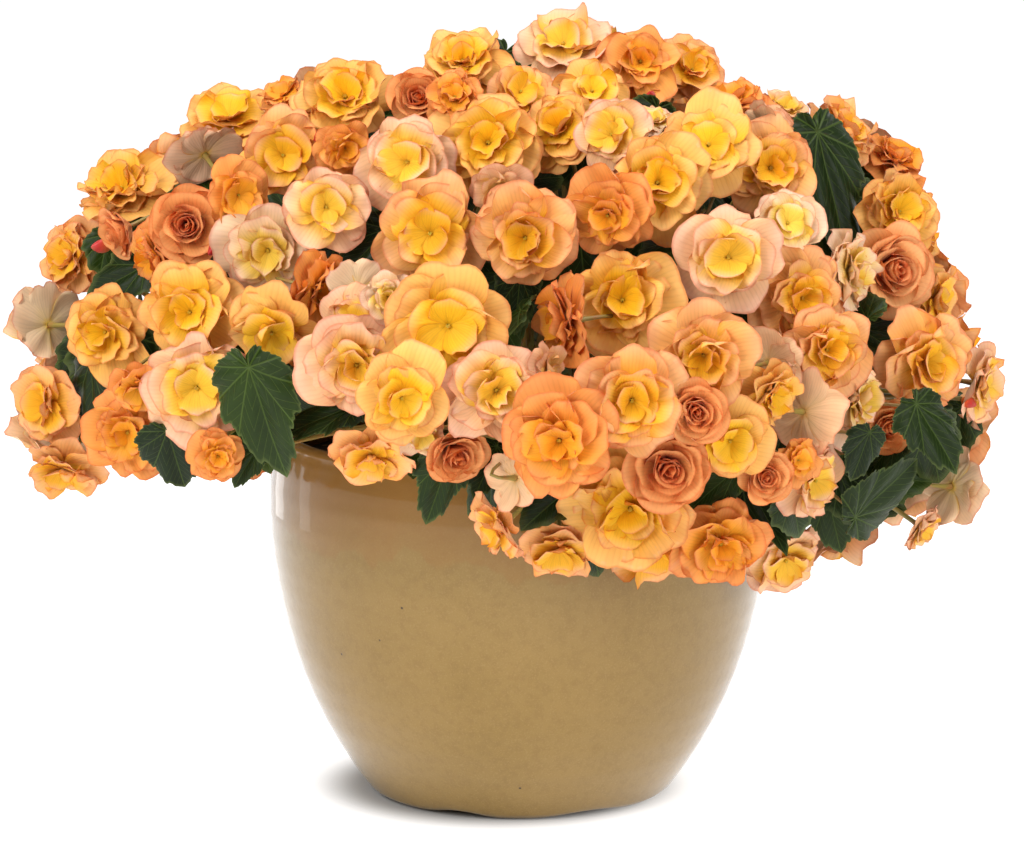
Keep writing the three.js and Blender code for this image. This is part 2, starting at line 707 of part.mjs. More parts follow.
// A leaf in one skin. The leaf stalk has three sides and opens into the blade, which is a thin lens: its two
// faces share the toothed edge, and the rib lies between them.
function leafSolid(leaf) {
  const vertices = [];
  const triangles = [];
  const add = (p) => vertices.push(p) - 1;
  const stalkTurns = [0, Math.PI, 1.5 * Math.PI];
  const side = leaf.normal.clone().cross(leaf.forward);
  leaf.route.forEach((p, i) => {
    const after = i + 1 < leaf.route.length ? leaf.route[i + 1] : plus(p, leaf.forward);
    const before = i ? p.clone().sub(leaf.route[i - 1]).normalize() : NOWHERE;
    const along = plus(after.clone().sub(p).normalize(), before);
    const pair = swungPair([side, leaf.normal], leaf.forward, along.normalize());
    ring(p, pair, stalkTurns, LEAF.stalkRadius).points.forEach(add);
  });
  triangles.push([0, 2, 1]);
  for (let k = 3; k < vertices.length; k += 3) {
    for (let i = 0; i < 3; i++) {
      const next = (i + 1) % 3;
      triangles.push([k - 3 + i, k - 3 + next, k + next], [k - 3 + i, k + next, k + i]);
    }
  }
  const [right, left, under] = [vertices.length - 3, vertices.length - 2, vertices.length - 1];
  const tip = add(onBlade(leaf, 1, 0));
  const ribLift = (face) => (face * LEAF.thickness) / 2 - LEAF_FORM.fold * leaf.width;
  const ribs = [1, -1].map((face) => LEAF_RIB.map((x) => add(onBlade(leaf, x, 0, ribLift(face)))));
  triangles.push([right, left, ribs[0][0]], [right, ribs[1][0], under], [left, under, ribs[1][0]]);
  [right, left].forEach((corner, hand) => {
    const half = hand ? -LEAF_FORM.narrowHalf : LEAF_FORM.wideHalf;
    const outline = [corner, ...LEAF_EDGE.map(([x, y]) => add(onBlade(leaf, x, y * half))), tip];
    ribs.forEach(([lowRib, highRib], face) => {
      const bend = outline.length - 3;
      const fan = outline.slice(1).map((next, i) => [i < bend ? lowRib : highRib, outline[i], next]);
      fan.push([lowRib, outline[bend], highRib]);
      fan.forEach(([a, b, c]) => triangles.push(hand === face ? [a, c, b] : [a, b, c]));
    });
  });
  return solidOf(vertices, triangles);
}

// What a leaf keeps clear of: the blooms, the lines of the stalks, and the dots of the leaves placed before.
const lines = [];
sprays.forEach((spray) => {
  [...spray.blooms, ...spray.buds].forEach(({ route }) => {
    route.slice(1).forEach((next, i) => {
      lines.push({ from: route[i].point, to: next.point, radius: route[i].radius });
    });
  });
  spray.buds.forEach(({ middle, facing, length }) => {
    lines.push({ from: middle, to: plus(middle, facing, length * 0.6), radius: length * 0.32 });
  });
  lines.push({ from: spray.crown, to: spray.start, radius: SIDE_SHOOT.radius, stem: spray.crown });
});

const placed = [];

function clearOfBloom(p, { middle, facing, radius, form }) {
  const away = p.clone().sub(middle);
  const rise = away.dot(facing) / radius;
  const level = Math.sqrt(Math.max(0, away.lengthSq() / radius ** 2 - rise * rise));
  const { top, neck } = FORMS[form];
  const core = rise > 0 ? Math.min(top, 0.1 + 0.9 * (1 - level)) : 0.08 + neck * (1 - level);
  return Math.max(away.length() - radius, radius * (Math.abs(rise) - core));
}

function clearOfLine(p, { from, to, radius }) {
  const span = to.clone().sub(from);
  const share = THREE.MathUtils.clamp(p.clone().sub(from).dot(span) / span.lengthSq(), 0, 1);
  return plus(from, span, share).distanceTo(p) - radius;
}

// Marks are points on the blooms and along the stalks. A blade is clear of one that lies off its outline, or
// so far above or below it.
const marks = [];
function clearOfBlade({ foot, forward, normal, length, width }, { point, radius }) {
  const away = point.clone().sub(foot);
  const x = away.dot(forward) / length;
  const y = away.dot(normal.clone().cross(forward)) / width;
  const half = Math.min(0.53, 0.88 * (1.03 - x));
  if (x < -0.12 || Math.abs(y) > half) return Infinity;
  const fold = (LEAF_FORM.fold * width * Math.max(0, 1 - Math.abs(y) * 4)) / 2;
  const rise = away.dot(normal) - bladeDrop(length, width, x, y) + fold;
  return Math.abs(rise) - radius - LEAF.thickness / 2 - fold;
}

function clearance(leaf) {
  const [blade, stalk] = [bladeDots(leaf), stalkDots(leaf)];
  const hull = new THREE.Sphere().setFromPoints([...blade, ...stalk]);
  const within = (p, more) => p.distanceTo(hull.center) < hull.radius + more + LEAF.apart;
  const nearBlooms = blooms.filter((b) => within(b.middle, b.radius));
  const nearLines = lines.filter((line) => clearOfLine(hull.center, line) < hull.radius + LEAF.apart);
  const nearDots = placed.filter((dot) => within(dot, 0));
  const otherLines = nearLines.filter((line) => line.stem !== leaf.stem.crown);
  const gaps = marks.filter((m) => within(m.point, 0)).map((m) => clearOfBlade(leaf, m));
  gaps.push(...blade.flatMap((p) => [
    ...nearBlooms.map((b) => clearOfBloom(p, b)),
    ...nearLines.map((line) => clearOfLine(p, line)),
    ...nearDots.map((dot) => p.distanceTo(dot) - LEAF.apart),
    Math.hypot(p.x, p.y) < POT.bellyRadius + 2 ? p.z - POT.height - 2 : Infinity,
  ]));
  gaps.push(...stalk.flatMap((p) => [
    ...nearBlooms.map((b) => clearOfBloom(p, b) - LEAF.stalkRadius),
    ...otherLines.map((line) => clearOfLine(p, line) - LEAF.stalkRadius),
    ...nearDots.map((dot) => p.distanceTo(dot) - LEAF.apart * 0.6),
  ]));
  return Math.min(...gaps);
}

function bladeDots(leaf) {
  const across = [-0.46, -0.31, -0.15, 0, 0.15, 0.31, 0.46];
  const along = [-0.06, 0.06, 0.2, 0.34, 0.48, 0.62, 0.76, 0.9];
  const dots = along.flatMap((x) => across.map((y) => onBlade(leaf, x, y * Math.min(1.1, 1.5 - 1.35 * x))));
  return [...dots, onBlade(leaf, 1, 0)];
}

function stalkDots(leaf) {
  return leaf.route.slice(1).flatMap((to, i) => {
    const from = leaf.route[i];
    const count = Math.ceil(to.distanceTo(from) / 5);
    return Array.from({ length: count }, (_, k) => plus(from, to.clone().sub(from), (k + 1) / count));
  });
}

// A leaf with its middle at a point, its upper face looking along a normal and its tip pointing roughly
// along a line. Its stalk starts on the stem, and where it would meet the pot it bends over the rim.
function leafAt(middle, normal, pointing, length, width) {
  const forward = plus(pointing, normal, -pointing.dot(normal)).normalize();
  const foot = plus(middle, forward, -length / 2);
  const stem = nearest(foot, stems, (s) => s.crown);
  const share = LEAF.lowest + (0.9 - LEAF.lowest) * ((0.618 * stem.leaves.length) % 1);
  const axis = plus(stem.knee, stem.crown.clone().sub(stem.knee), share);
  const thick = THREE.MathUtils.lerp(STEM.baseRadius, STEM.tipRadius, 0.5 + share / 2);
  const root = rootUnderSide(axis, stem.pair, STEM.sides, thick, LEAF.stalkRadius, foot.clone().sub(axis));
  const level = Math.hypot(foot.x, foot.y);
  const leaf = { foot, forward, normal, length, width, stem, route: [root, foot] };
  if (foot.z < POT.height + 25 && level > POT.rimRadius) {
    const overRim = (POT.rimRadius + 14) / level;
    leaf.route.splice(1, 0, at(foot.x * overRim, foot.y * overRim, POT.height + 22));
  }
  leaf.clear = clearance(leaf);
  return leaf;
}

// The first of a leaf's possible places that is clear of everything is taken, or else the clearest. With
// none that is clear enough, the leaf is left out.
function place(candidates) {
  const clearest = candidates.reduce((best, c) => (c.clear > best.clear ? c : best));
  const leaf = candidates.find((c) => c.clear > LEAF.clear) ?? clearest;
  if (leaf.clear < LEAF.leastClear) return false;
  placed.push(...bladeDots(leaf), ...stalkDots(leaf).slice(3));
  leaf.stem.leaves.push(leaf);
  return true;
}

// The places tried for a leaf of the front move farther from where it shows as they go on, and the leaf
// grows smaller.
function placeFrontLeaves() {
  FRONT_LEAVES.forEach(([across, down, behind, length, width, right, up, clock], row) => {
    const candidates = Array.from({ length: FRONT_TRIES.count }, (_, k) => {
      const free = Math.sqrt(k / FRONT_TRIES.near);
      const size = 1 - (FRONT_TRIES.shrink * k) / FRONT_TRIES.count;
      const [more, swing, sway] = [12, 14, 15].map((stream) => (draw(row * 211 + k, stream) - 0.5) * free);
      const middle = plus(onDome(across, down), sightLine(across, down)[1], behind + 50 * more);
      const turn = radians(clock + 70 * swing);
      const pointing = plus(at(Math.sin(turn), 0, 0), RISE, Math.cos(turn));
      const normal = looking(right + 70 * sway, up + 60 * swing);
      return leafAt(middle, normal, pointing, length * size, width * size);
    });
    place(candidates);
  });
}

// Leaves under the hanging edge of the dome, all round, with their tips inside the outline.
function placeSkirtLeaves() {
  for (let i = 0; i < SKIRT_LEAVES.count; i++) {
    const candidates = Array.from({ length: 48 }, (_, k) => {
      const turn = (2 * Math.PI * (i + 0.8 * draw(i * 49 + k, 8))) / SKIRT_LEAVES.count;
      const out = at(Math.cos(turn), Math.sin(turn), 0);
      const middle = at(0, 0, SKIRT_LEAVES.height + 30 * (draw(i * 49 + k, 9) - 0.5));
      middle.addScaledVector(out, SKIRT_LEAVES.radius + 24 * (draw(i * 49 + k, 10) - 0.5));
      const normal = plus(out, UP, 0.6 + draw(i * 49 + k, 11)).normalize();
      const size = 0.75 + 0.35 * draw(i * 49 + k, 12);
      return leafAt(middle, normal, plus(out, UP, -1), SKIRT_LEAVES.length * size, SKIRT_LEAVES.width * size);
    }).filter((leaf) => insideOutline(onBlade(leaf, 1, 0), 0));
    if (candidates.length) place(candidates);
  }
}

// Inner leaves fill the widest gaps between the flower stalks and the other leaves, one after another.
function placeInnerLeaves() {
  const places = spread(700, -0.12);
  const taken = stems.flatMap((s) => s.leaves.map((l) => fromHeart(onBlade(l, 0.5, 0))));
  const full = [...sprays.map((s) => fromHeart(s.fork)), ...taken];
  let placedCount = 0;
  for (let i = 0; i < 3 * INNER_LEAVES.count && placedCount < INNER_LEAVES.count; i++) {
    const room = (d) => Math.min(...full.map((f) => f.distanceTo(d)));
    const direction = places.reduce((best, d) => (room(d) > room(best) ? d : best));
    full.push(direction);
    const surface = domeAlong(direction);
    const candidates = Array.from({ length: 48 }, (_, k) => {
      const depth = INNER_LEAVES.depth + 0.1 - 0.3 * draw(i * 49 + k, 13);
      const sway = at(draw(i * 49 + k, 14) - 0.5, draw(i * 49 + k, 15) - 0.5, draw(i * 49 + k, 16) - 0.2);
      const normal = plus(domeNormal(surface), sway, 0.9).normalize();
      const size = 1.1 - 0.35 * (k / 48);
      const outward = plus(at(direction.x, direction.y, -0.9), sway, 0.6);
      const middle = plus(HEART, surface.clone().sub(HEART), depth);
      return leafAt(middle, normal, outward, INNER_LEAVES.length * size, INNER_LEAVES.width * size);
    });
    if (place(candidates)) placedCount++;
  }
}

// ---------------------------------------------------------------- stems

const stems = crowns.map((crown) => {
  const [x, y] = [crown.x * 0.8, crown.y * 0.8];
  const knee = at(x, y, SOIL.top + SOIL.mound + 8);
  const pair = swungPair(crossPair(UP), UP, crown.clone().sub(knee).normalize());
  return { crown, knee, pair, foot: at(x, y, SOIL.top - STEM.planted), leaves: [] };
});
stems.forEach((s) => lines.push({ from: s.knee, to: s.crown, radius: STEM.baseRadius, stem: s.crown }));
lines.forEach(({ from, to, radius }) => {
  const count = Math.ceil(from.distanceTo(to) / 4);
  for (let k = 0; k <= count; k++) marks.push({ point: from.clone().lerp(to, k / count), radius });
});
blooms.forEach(({ middle, facing, radius, form }) => {
  FORMS[form].rings.forEach(([, [share], [lift]]) => {
    const rim = ring(middle, crossPair(facing), evenTurns(16), radius * share, radius * lift, facing);
    marks.push(...rim.points.map((point) => ({ point, radius: 0.5 })));
  });
});
placeFrontLeaves();
placeSkirtLeaves();
placeInnerLeaves();

function stemSolid(stem) {
  const { foot, knee, crown } = stem;
  const parts = [tube([foot, knee, crown], STEM.baseRadius, STEM.tipRadius, STEM.sides)];
  sprays.filter((s) => s.crown === crown).forEach(({ along }) => {
    const shoot = [plus(crown, along, -1), plus(crown, along, SIDE_SHOOT.length)];
    parts.push(tube(shoot, SIDE_SHOOT.radius, SIDE_SHOOT.radius, 3));
  });
  stem.leaves.forEach((leaf) => parts.push(leafSolid(leaf)));
  return whole(parts);
}

// ---------------------------------------------------------------- pot and soil

// The outside of the pot: an egg that rises from the foot to the belly and closes in a little to the rim.
function potRadius(z) {
  const { footRadius, bellyRadius, rimRadius, height } = POT;
  const belly = height * 0.8;
  if (z < belly) {
    const s = 1 - z / belly;
    return bellyRadius - (bellyRadius - footRadius) * (0.8 * s ** 1.85 + 0.2 * s ** 4);
  }
  const s = (z - belly) / (height - belly);
  return bellyRadius - (bellyRadius - rimRadius) * s * s;
}

function turned(profile) {
  const points = profile.map(([r, z]) => new THREE.Vector2(r, z));
  return solidOfGeometry(new THREE.LatheGeometry(points, POT.sides).rotateX(Math.PI / 2));
}

const INSIDE_LEVELS = [24, 80, 150, SOIL.top];
const OUTSIDE_LEVELS = [5, 22, 52, 90, 135, 188, 218];
function potSolid() {
  const { footRadius, floor, wall, height, rimRadius } = POT;
  const outside = OUTSIDE_LEVELS.map((z) => [potRadius(z), z]);
  const lip = [[rimRadius + 0.5, height - 3], [rimRadius - 3, height], [rimRadius - wall + 1, height - 1]];
  const inside = [...INSIDE_LEVELS].reverse().map((z) => [potRadius(z) - wall, z]);
  const base = [[potRadius(floor) - wall - 8, floor], [0, floor]];
  return turned([[0, 0], [footRadius - 2, 0], ...outside, ...lip, ...inside, ...base]);
}

function soilSolid() {
  const { top, gap, mound } = SOIL;
  const { wall, floor } = POT;
  const side = INSIDE_LEVELS.map((z) => [potRadius(z) - wall - gap * 2, z]);
  const bottom = [[0, floor + gap], [potRadius(floor) - wall - 9, floor + gap]];
  const holes = stems.map(({ foot, knee }) => {
    const radius = STEM.baseRadius + 0.6;
    return tube([plus(foot, UP, -GAP), plus(knee, UP, 4)], radius, radius, STEM.sides);
  });
  const filled = turned([...bottom, ...side, [SOIL.flat, top + mound], [0, top + mound]]);
  return filled.subtract(wasm.Manifold.union(holes));
}

// ---------------------------------------------------------------- the assembled plant

const FINISH = {
  glaze: { color: 0xa98a58, roughness: 0.2, metalness: 0 },
  soil: { color: 0x3a2a1d, roughness: 0.95, metalness: 0 },
  leaf: { color: 0x2f4a26, roughness: 0.45, metalness: 0 },
  apricot: { color: 0xf2a54e, roughness: 0.6, metalness: 0 },
  peach: { color: 0xf3c08c, roughness: 0.6, metalness: 0 },
};

const begonia = new THREE.Group();
function add(name, solid, finish) {
  const mesh = new THREE.Mesh(geometryOf(solid), new THREE.MeshStandardMaterial(FINISH[finish]));
  mesh.name = name;
  begonia.add(mesh);
}

const twoDigits = (i) => String(i + 1).padStart(2, "0");
add("pot", potSolid(), "glaze");
add("soil", soilSolid(), "soil");
stems.forEach((stem, i) => add("leafy_stem_" + twoDigits(i), stemSolid(stem), "leaf"));
sprays.forEach((spray, i) => {
  add("flower_spray_" + twoDigits(i), spraySolid(spray), i % 3 ? "apricot" : "peach");
});

export default begonia;
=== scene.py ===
# %% [markdown]
# # A double begonia in a glazed pot
# The real object is a round bush of begonias, about 0.65 m wide, that covers the rim of a glazed stoneware
# pot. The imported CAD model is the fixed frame: it says where the pot stands, where each stem ends and where
# each bloom sits. This script works out the same places again and puts finer petals, leaves and glaze there.

import math
from types import SimpleNamespace

import bpy
import numpy as np
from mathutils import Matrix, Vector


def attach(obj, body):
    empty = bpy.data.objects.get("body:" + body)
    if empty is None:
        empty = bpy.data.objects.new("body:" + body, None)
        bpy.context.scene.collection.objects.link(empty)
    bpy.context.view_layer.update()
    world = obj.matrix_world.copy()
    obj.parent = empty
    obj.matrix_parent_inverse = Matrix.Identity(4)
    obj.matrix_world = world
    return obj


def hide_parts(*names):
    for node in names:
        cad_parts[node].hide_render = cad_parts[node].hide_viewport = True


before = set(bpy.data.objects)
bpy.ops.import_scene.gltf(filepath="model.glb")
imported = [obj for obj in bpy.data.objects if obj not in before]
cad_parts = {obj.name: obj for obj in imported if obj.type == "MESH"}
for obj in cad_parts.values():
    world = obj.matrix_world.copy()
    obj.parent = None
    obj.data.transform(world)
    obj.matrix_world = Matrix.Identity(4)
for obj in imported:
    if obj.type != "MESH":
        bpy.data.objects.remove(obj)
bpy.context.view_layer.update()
MM = 0.001
print("frame:", len(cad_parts), "nodes")

# %% [markdown]
# ## The driving dimensions
# These are the dimensions of the CAD model, in millimetres. They are repeated here because the blooms and
# leaves are placed by the same rules, so that each fine piece lies where its plain solid lies.

# %% Driving dimensions
POT = dict(foot=96, belly=160, rim=155, height=235, wall=9, floor=15)
SOIL = dict(top=212, mound=5, side=205)
GAP = 0.3
CANOPY = dict(middle_x=-6, level=245, across=305, deep=272, up=243, down=100)
SKIRT = dict(radius=192, below=252, over=4)
VIEW = dict(distance=3000, tilt=10, target_x=-5, target_z=238, pixel=0.64, middle=(512, 421))
SEARCH = dict(dome=420, dome_step=2.0, pot=220, pot_step=0.5, outermost=500.0, halvings=30)
# The outline of the plant in the photo: pixels across, then its highest and its lowest pixel down there.
OUTLINE = [
    (8, 425, 430), (24, 300, 480), (60, 210, 508), (95, 172, 508), (130, 150, 480), (180, 122, 490),
    (220, 88, 482), (300, 70, 480), (345, 65, 490), (430, 50, 515), (497, 35, 565), (560, 15, 585),
    (640, 25, 578), (700, 40, 590), (785, 90, 600), (845, 95, 570), (900, 135, 542), (935, 190, 540),
    (970, 290, 512), (1003, 352, 430), (1010, 392, 396),
]
STEM = dict(count=12, base=5, tip=3.6, sides=5, planted=18, foot=0.8, knee=8)
CROWN = dict(level=252, across=108, up=96)
SHOOT = dict(length=12, radius=2.2)
SPRAY = dict(count=42, heart=285, lowest=-0.32, fork=0.72, stalk=2.8, sides=4, pedicel=1, whorl=5,
             sideways=0.5, straight=14, flare=0.5)
BUD = dict(behind=14, neck=0.5, reach=0.6, radius=0.32)
LEAF = dict(thickness=2, stalk=1.4, lowest=0.15, highest=0.9, clear=2, least=1.5, apart=7, off_pot=2)
BACK_BLOOMS = dict(lattice=172, lowest=172, lowest_way=-0.6, turned_away=-0.24, room=0.86, least=0.7,
                   widths=(56, 72), lean=0.9, spare=4, slides=5, slide=8)
BACK_FORMS = dict(full=0.2, rose=0.06)
FRONT_TRIES = dict(count=210, near=60, shrink=0.35)
SKIRT_LEAVES = dict(count=15, radius=222, height=214, length=66, width=56)
INNER_LEAVES = dict(count=18, depth=0.8, length=66, width=54)
HIDDEN_TRIES = 48
SETTLE = dict(rounds=80, share=0.35, clear=1.5, toward_viewer=44, outward=6, inward=44, spare=4, longest=6,
              lift=2, slant=0.15, tiny=0.01)

# %% [markdown]
# ## The camera
# The photograph is taken from about head height with a long lens, so the foot of the pot shows as a shallow
# curve. The camera stands 3 m away and looks 10 degrees down. One pixel is 0.64 mm at the plant, which gives
# the focal length for a 36 mm sensor.

# %% Camera
PHOTO_WIDTH = 1024
tilt = math.radians(VIEW["tilt"])
away = np.array([0, math.cos(tilt), -math.sin(tilt)])
rise = np.array([0, math.sin(tilt), math.cos(tilt)])
eye = np.array([VIEW["target_x"], 0, VIEW["target_z"]]) - VIEW["distance"] * away


def add_object(name, data):
    """A new object of the scene that holds a mesh, a lamp or a camera."""
    made = bpy.data.objects.new(name, data)
    bpy.context.scene.collection.objects.link(made)
    return made


camera = add_object("camera", bpy.data.cameras.new("camera"))
camera.location = eye * MM
camera.rotation_euler = (math.pi / 2 - tilt, 0, 0)
camera.data.lens = camera.data.sensor_width * VIEW["distance"] / (PHOTO_WIDTH * VIEW["pixel"])
bpy.context.scene.camera = camera
print("lens:", round(camera.data.lens, 1), "mm")

# %% [markdown]
# ## Small helpers for places
# A place is an array of three numbers. The random draws come from a formula, so every run gives the same
# plant.

# %% Helpers for places
GOLDEN_ANGLE = math.pi * (3 - math.sqrt(5))
TURN = 6.28  # a full turn, near enough for an angle drawn by chance
UP = np.array([0.0, 0.0, 1.0])


def draw(n, stream):
    """The n-th number from 0 to 1 of a numbered stream: the fraction left of a large multiple of a sine."""
    s = math.sin(n * 12.9898 + stream * 78.233) * 43758.5453
    return s - math.floor(s)


def unit(v):
    """A vector over its length."""
    return v * (1 / math.sqrt(v[0] * v[0] + v[1] * v[1] + v[2] * v[2]))


def looking(right, up):
    """The unit vector turned so many degrees to the right of straight out at the viewer, and so many up."""
    r, u = math.radians(right), math.radians(up)
    return np.array([math.sin(r) * math.cos(u), -math.cos(r) * math.cos(u), math.sin(u)])


def spread(count, lowest):
    """Unit vectors evenly spread from straight up down to a lowest height: even steps in height, and a golden
    angle of turn from each to the next."""
    i = np.arange(count)
    z = 1 - (1 - lowest) * (i + 0.5) / count
    r = np.sqrt(1 - z * z)
    return np.stack([r * np.cos(i * GOLDEN_ANGLE), r * np.sin(i * GOLDEN_ANGLE), z], 1)


def cross_pair(normal, turn=0.0):
    """Two unit vectors square to a third, turned about it by an angle."""
    helper = UP if abs(normal[2]) < 0.9 else np.array([0.0, 1.0, 0.0])
    a = unit(np.cross(helper, normal))
    a = a * math.cos(turn) + np.cross(normal, a) * math.sin(turn)
    return a, np.cross(normal, a)


def swung(v, start, end):
    """A vector swung by the shortest turn that takes one unit vector to another."""
    c, w = start @ end, np.cross(start, end)
    return v * c + np.cross(w, v) + w * (w @ v) / (1 + c)


def even_turns(count, start=0.0):
    """Angles spread evenly round a circle."""
    return start + 2 * np.pi * np.arange(count) / count


def circle(turns, a, b):
    """Points of a circle in the plane of two vectors: a cos(turn) + b sin(turn)."""
    return np.cos(turns)[:, None] * a + np.sin(turns)[:, None] * b


def chance_vector(n, *streams):
    """A short vector whose coordinates are draws less a half."""
    return np.array([draw(n, stream) - 0.5 for stream in streams])


def root_under_side(point, pair, sides, stalk, branch, toward):
    """Where a branch starts inside a stalk: just under the flat side of the stalk that it leaves by."""
    depth = stalk * math.cos(math.pi / sides) - 1.25 * branch
    outward = circle(even_turns(sides, math.pi / sides), *pair)
    return point + outward[np.argmax(outward @ toward)] * max(depth, 0)


# %% [markdown]
# ## The dome of blooms
# The blooms cover a dome that is wider than the pot and hangs over its rim. A bloom that shows in the photo
# lies where its line of sight meets this dome.

# %% The dome
def dome_share(p):
    """Under 1 inside the dome and 1 on it: the length of the place in half axes of the dome."""
    climb = p[..., 2] - CANOPY["level"]
    half = np.where(climb > 0, CANOPY["up"], CANOPY["down"])
    across = (p[..., 0] - CANOPY["middle_x"]) / CANOPY["across"]
    return np.sqrt(across**2 + (p[..., 1] / CANOPY["deep"]) ** 2 + (climb / half) ** 2)


def dome_normal(p):
    """The way out of the dome: each coordinate over the square of its half axis."""
    climb = p[2] - CANOPY["level"]
    half = CANOPY["up"] if climb > 0 else CANOPY["down"]
    across = (p[0] - CANOPY["middle_x"]) / CANOPY["across"] ** 2
    return unit(np.array([across, p[1] / CANOPY["deep"] ** 2, climb / half**2]))


def over_pot(p):
    """True in the space over the pot and its rim, which hanging blooms stay out of."""
    return (np.hypot(p[..., 0], p[..., 1]) < SKIRT["radius"]) & (p[..., 2] < SKIRT["below"])


def sight_line(across, down):
    """The unit vector from the camera through a pixel of the photo."""
    line = away * VIEW["distance"]
    line[0] += (across - VIEW["middle"][0]) * VIEW["pixel"]
    return unit(line + rise * ((VIEW["middle"][1] - down) * VIEW["pixel"]))


def inside_outline(p, spare):
    """Whether a place shows inside the outline of the plant with so many pixels to spare, or is hidden behind
    the pot. Its pixel is its distance across and up the sight over the size of a pixel that far away."""
    line = p - eye
    pixel = VIEW["pixel"] * (line @ away) / VIEW["distance"]
    across = VIEW["middle"][0] + line[0] / pixel
    down = VIEW["middle"][1] - (line @ rise) / pixel
    edge, tops, bottoms = zip(*OUTLINE)
    if not edge[0] <= across < edge[-1]:
        return False
    top, bottom = np.interp(across, edge, tops), np.interp(across, edge, bottoms)
    behind_pot = p[1] > 0 and abs(p[0]) < POT["rim"] - 15
    return down > top + spare and (behind_pot or down < bottom - spare)


def along_sight(across, down, start, end, step):
    """Places along a sight line, from one distance to another past the middle of the view."""
    steps = np.arange(VIEW["distance"] + start, VIEW["distance"] + end, step)
    return eye + steps[:, None] * sight_line(across, down)


def on_dome(across, down):
    """The first point on a sight line that meets the dome or the space over the pot, or else the point
    nearest the dome."""
    places = along_sight(across, down, -SEARCH["dome"], SEARCH["dome"], SEARCH["dome_step"])
    shares = dome_share(places)
    met = (shares <= 1) | over_pot(places)
    return places[np.argmax(met)] if met.any() else places[np.argmin(shares)]


HEART = np.array([0.0, 0.0, SPRAY["heart"]])


def dome_along(direction):
    """The point of the dome in a direction from the heart of the plant, found by halving."""
    inside, outside = 0.0, SEARCH["outermost"]
    for _ in range(SEARCH["halvings"]):
        middle = (inside + outside) / 2
        if dome_share(HEART + direction * middle) < 1:
            inside = middle
        else:
            outside = middle
    return HEART + direction * inside


print("top of the dome:", dome_along(UP).round())

# %% [markdown]
# ## The blooms of the front
# Each row says where a bloom shows in the photo (pixels across and down), its width in millimetres, the way
# it faces (degrees to the right and up), its form (f full double, o open with broad petals, r half-open
# rose) and its tint. The blooms of a begonia open gold or flame and fade to peach and cream.

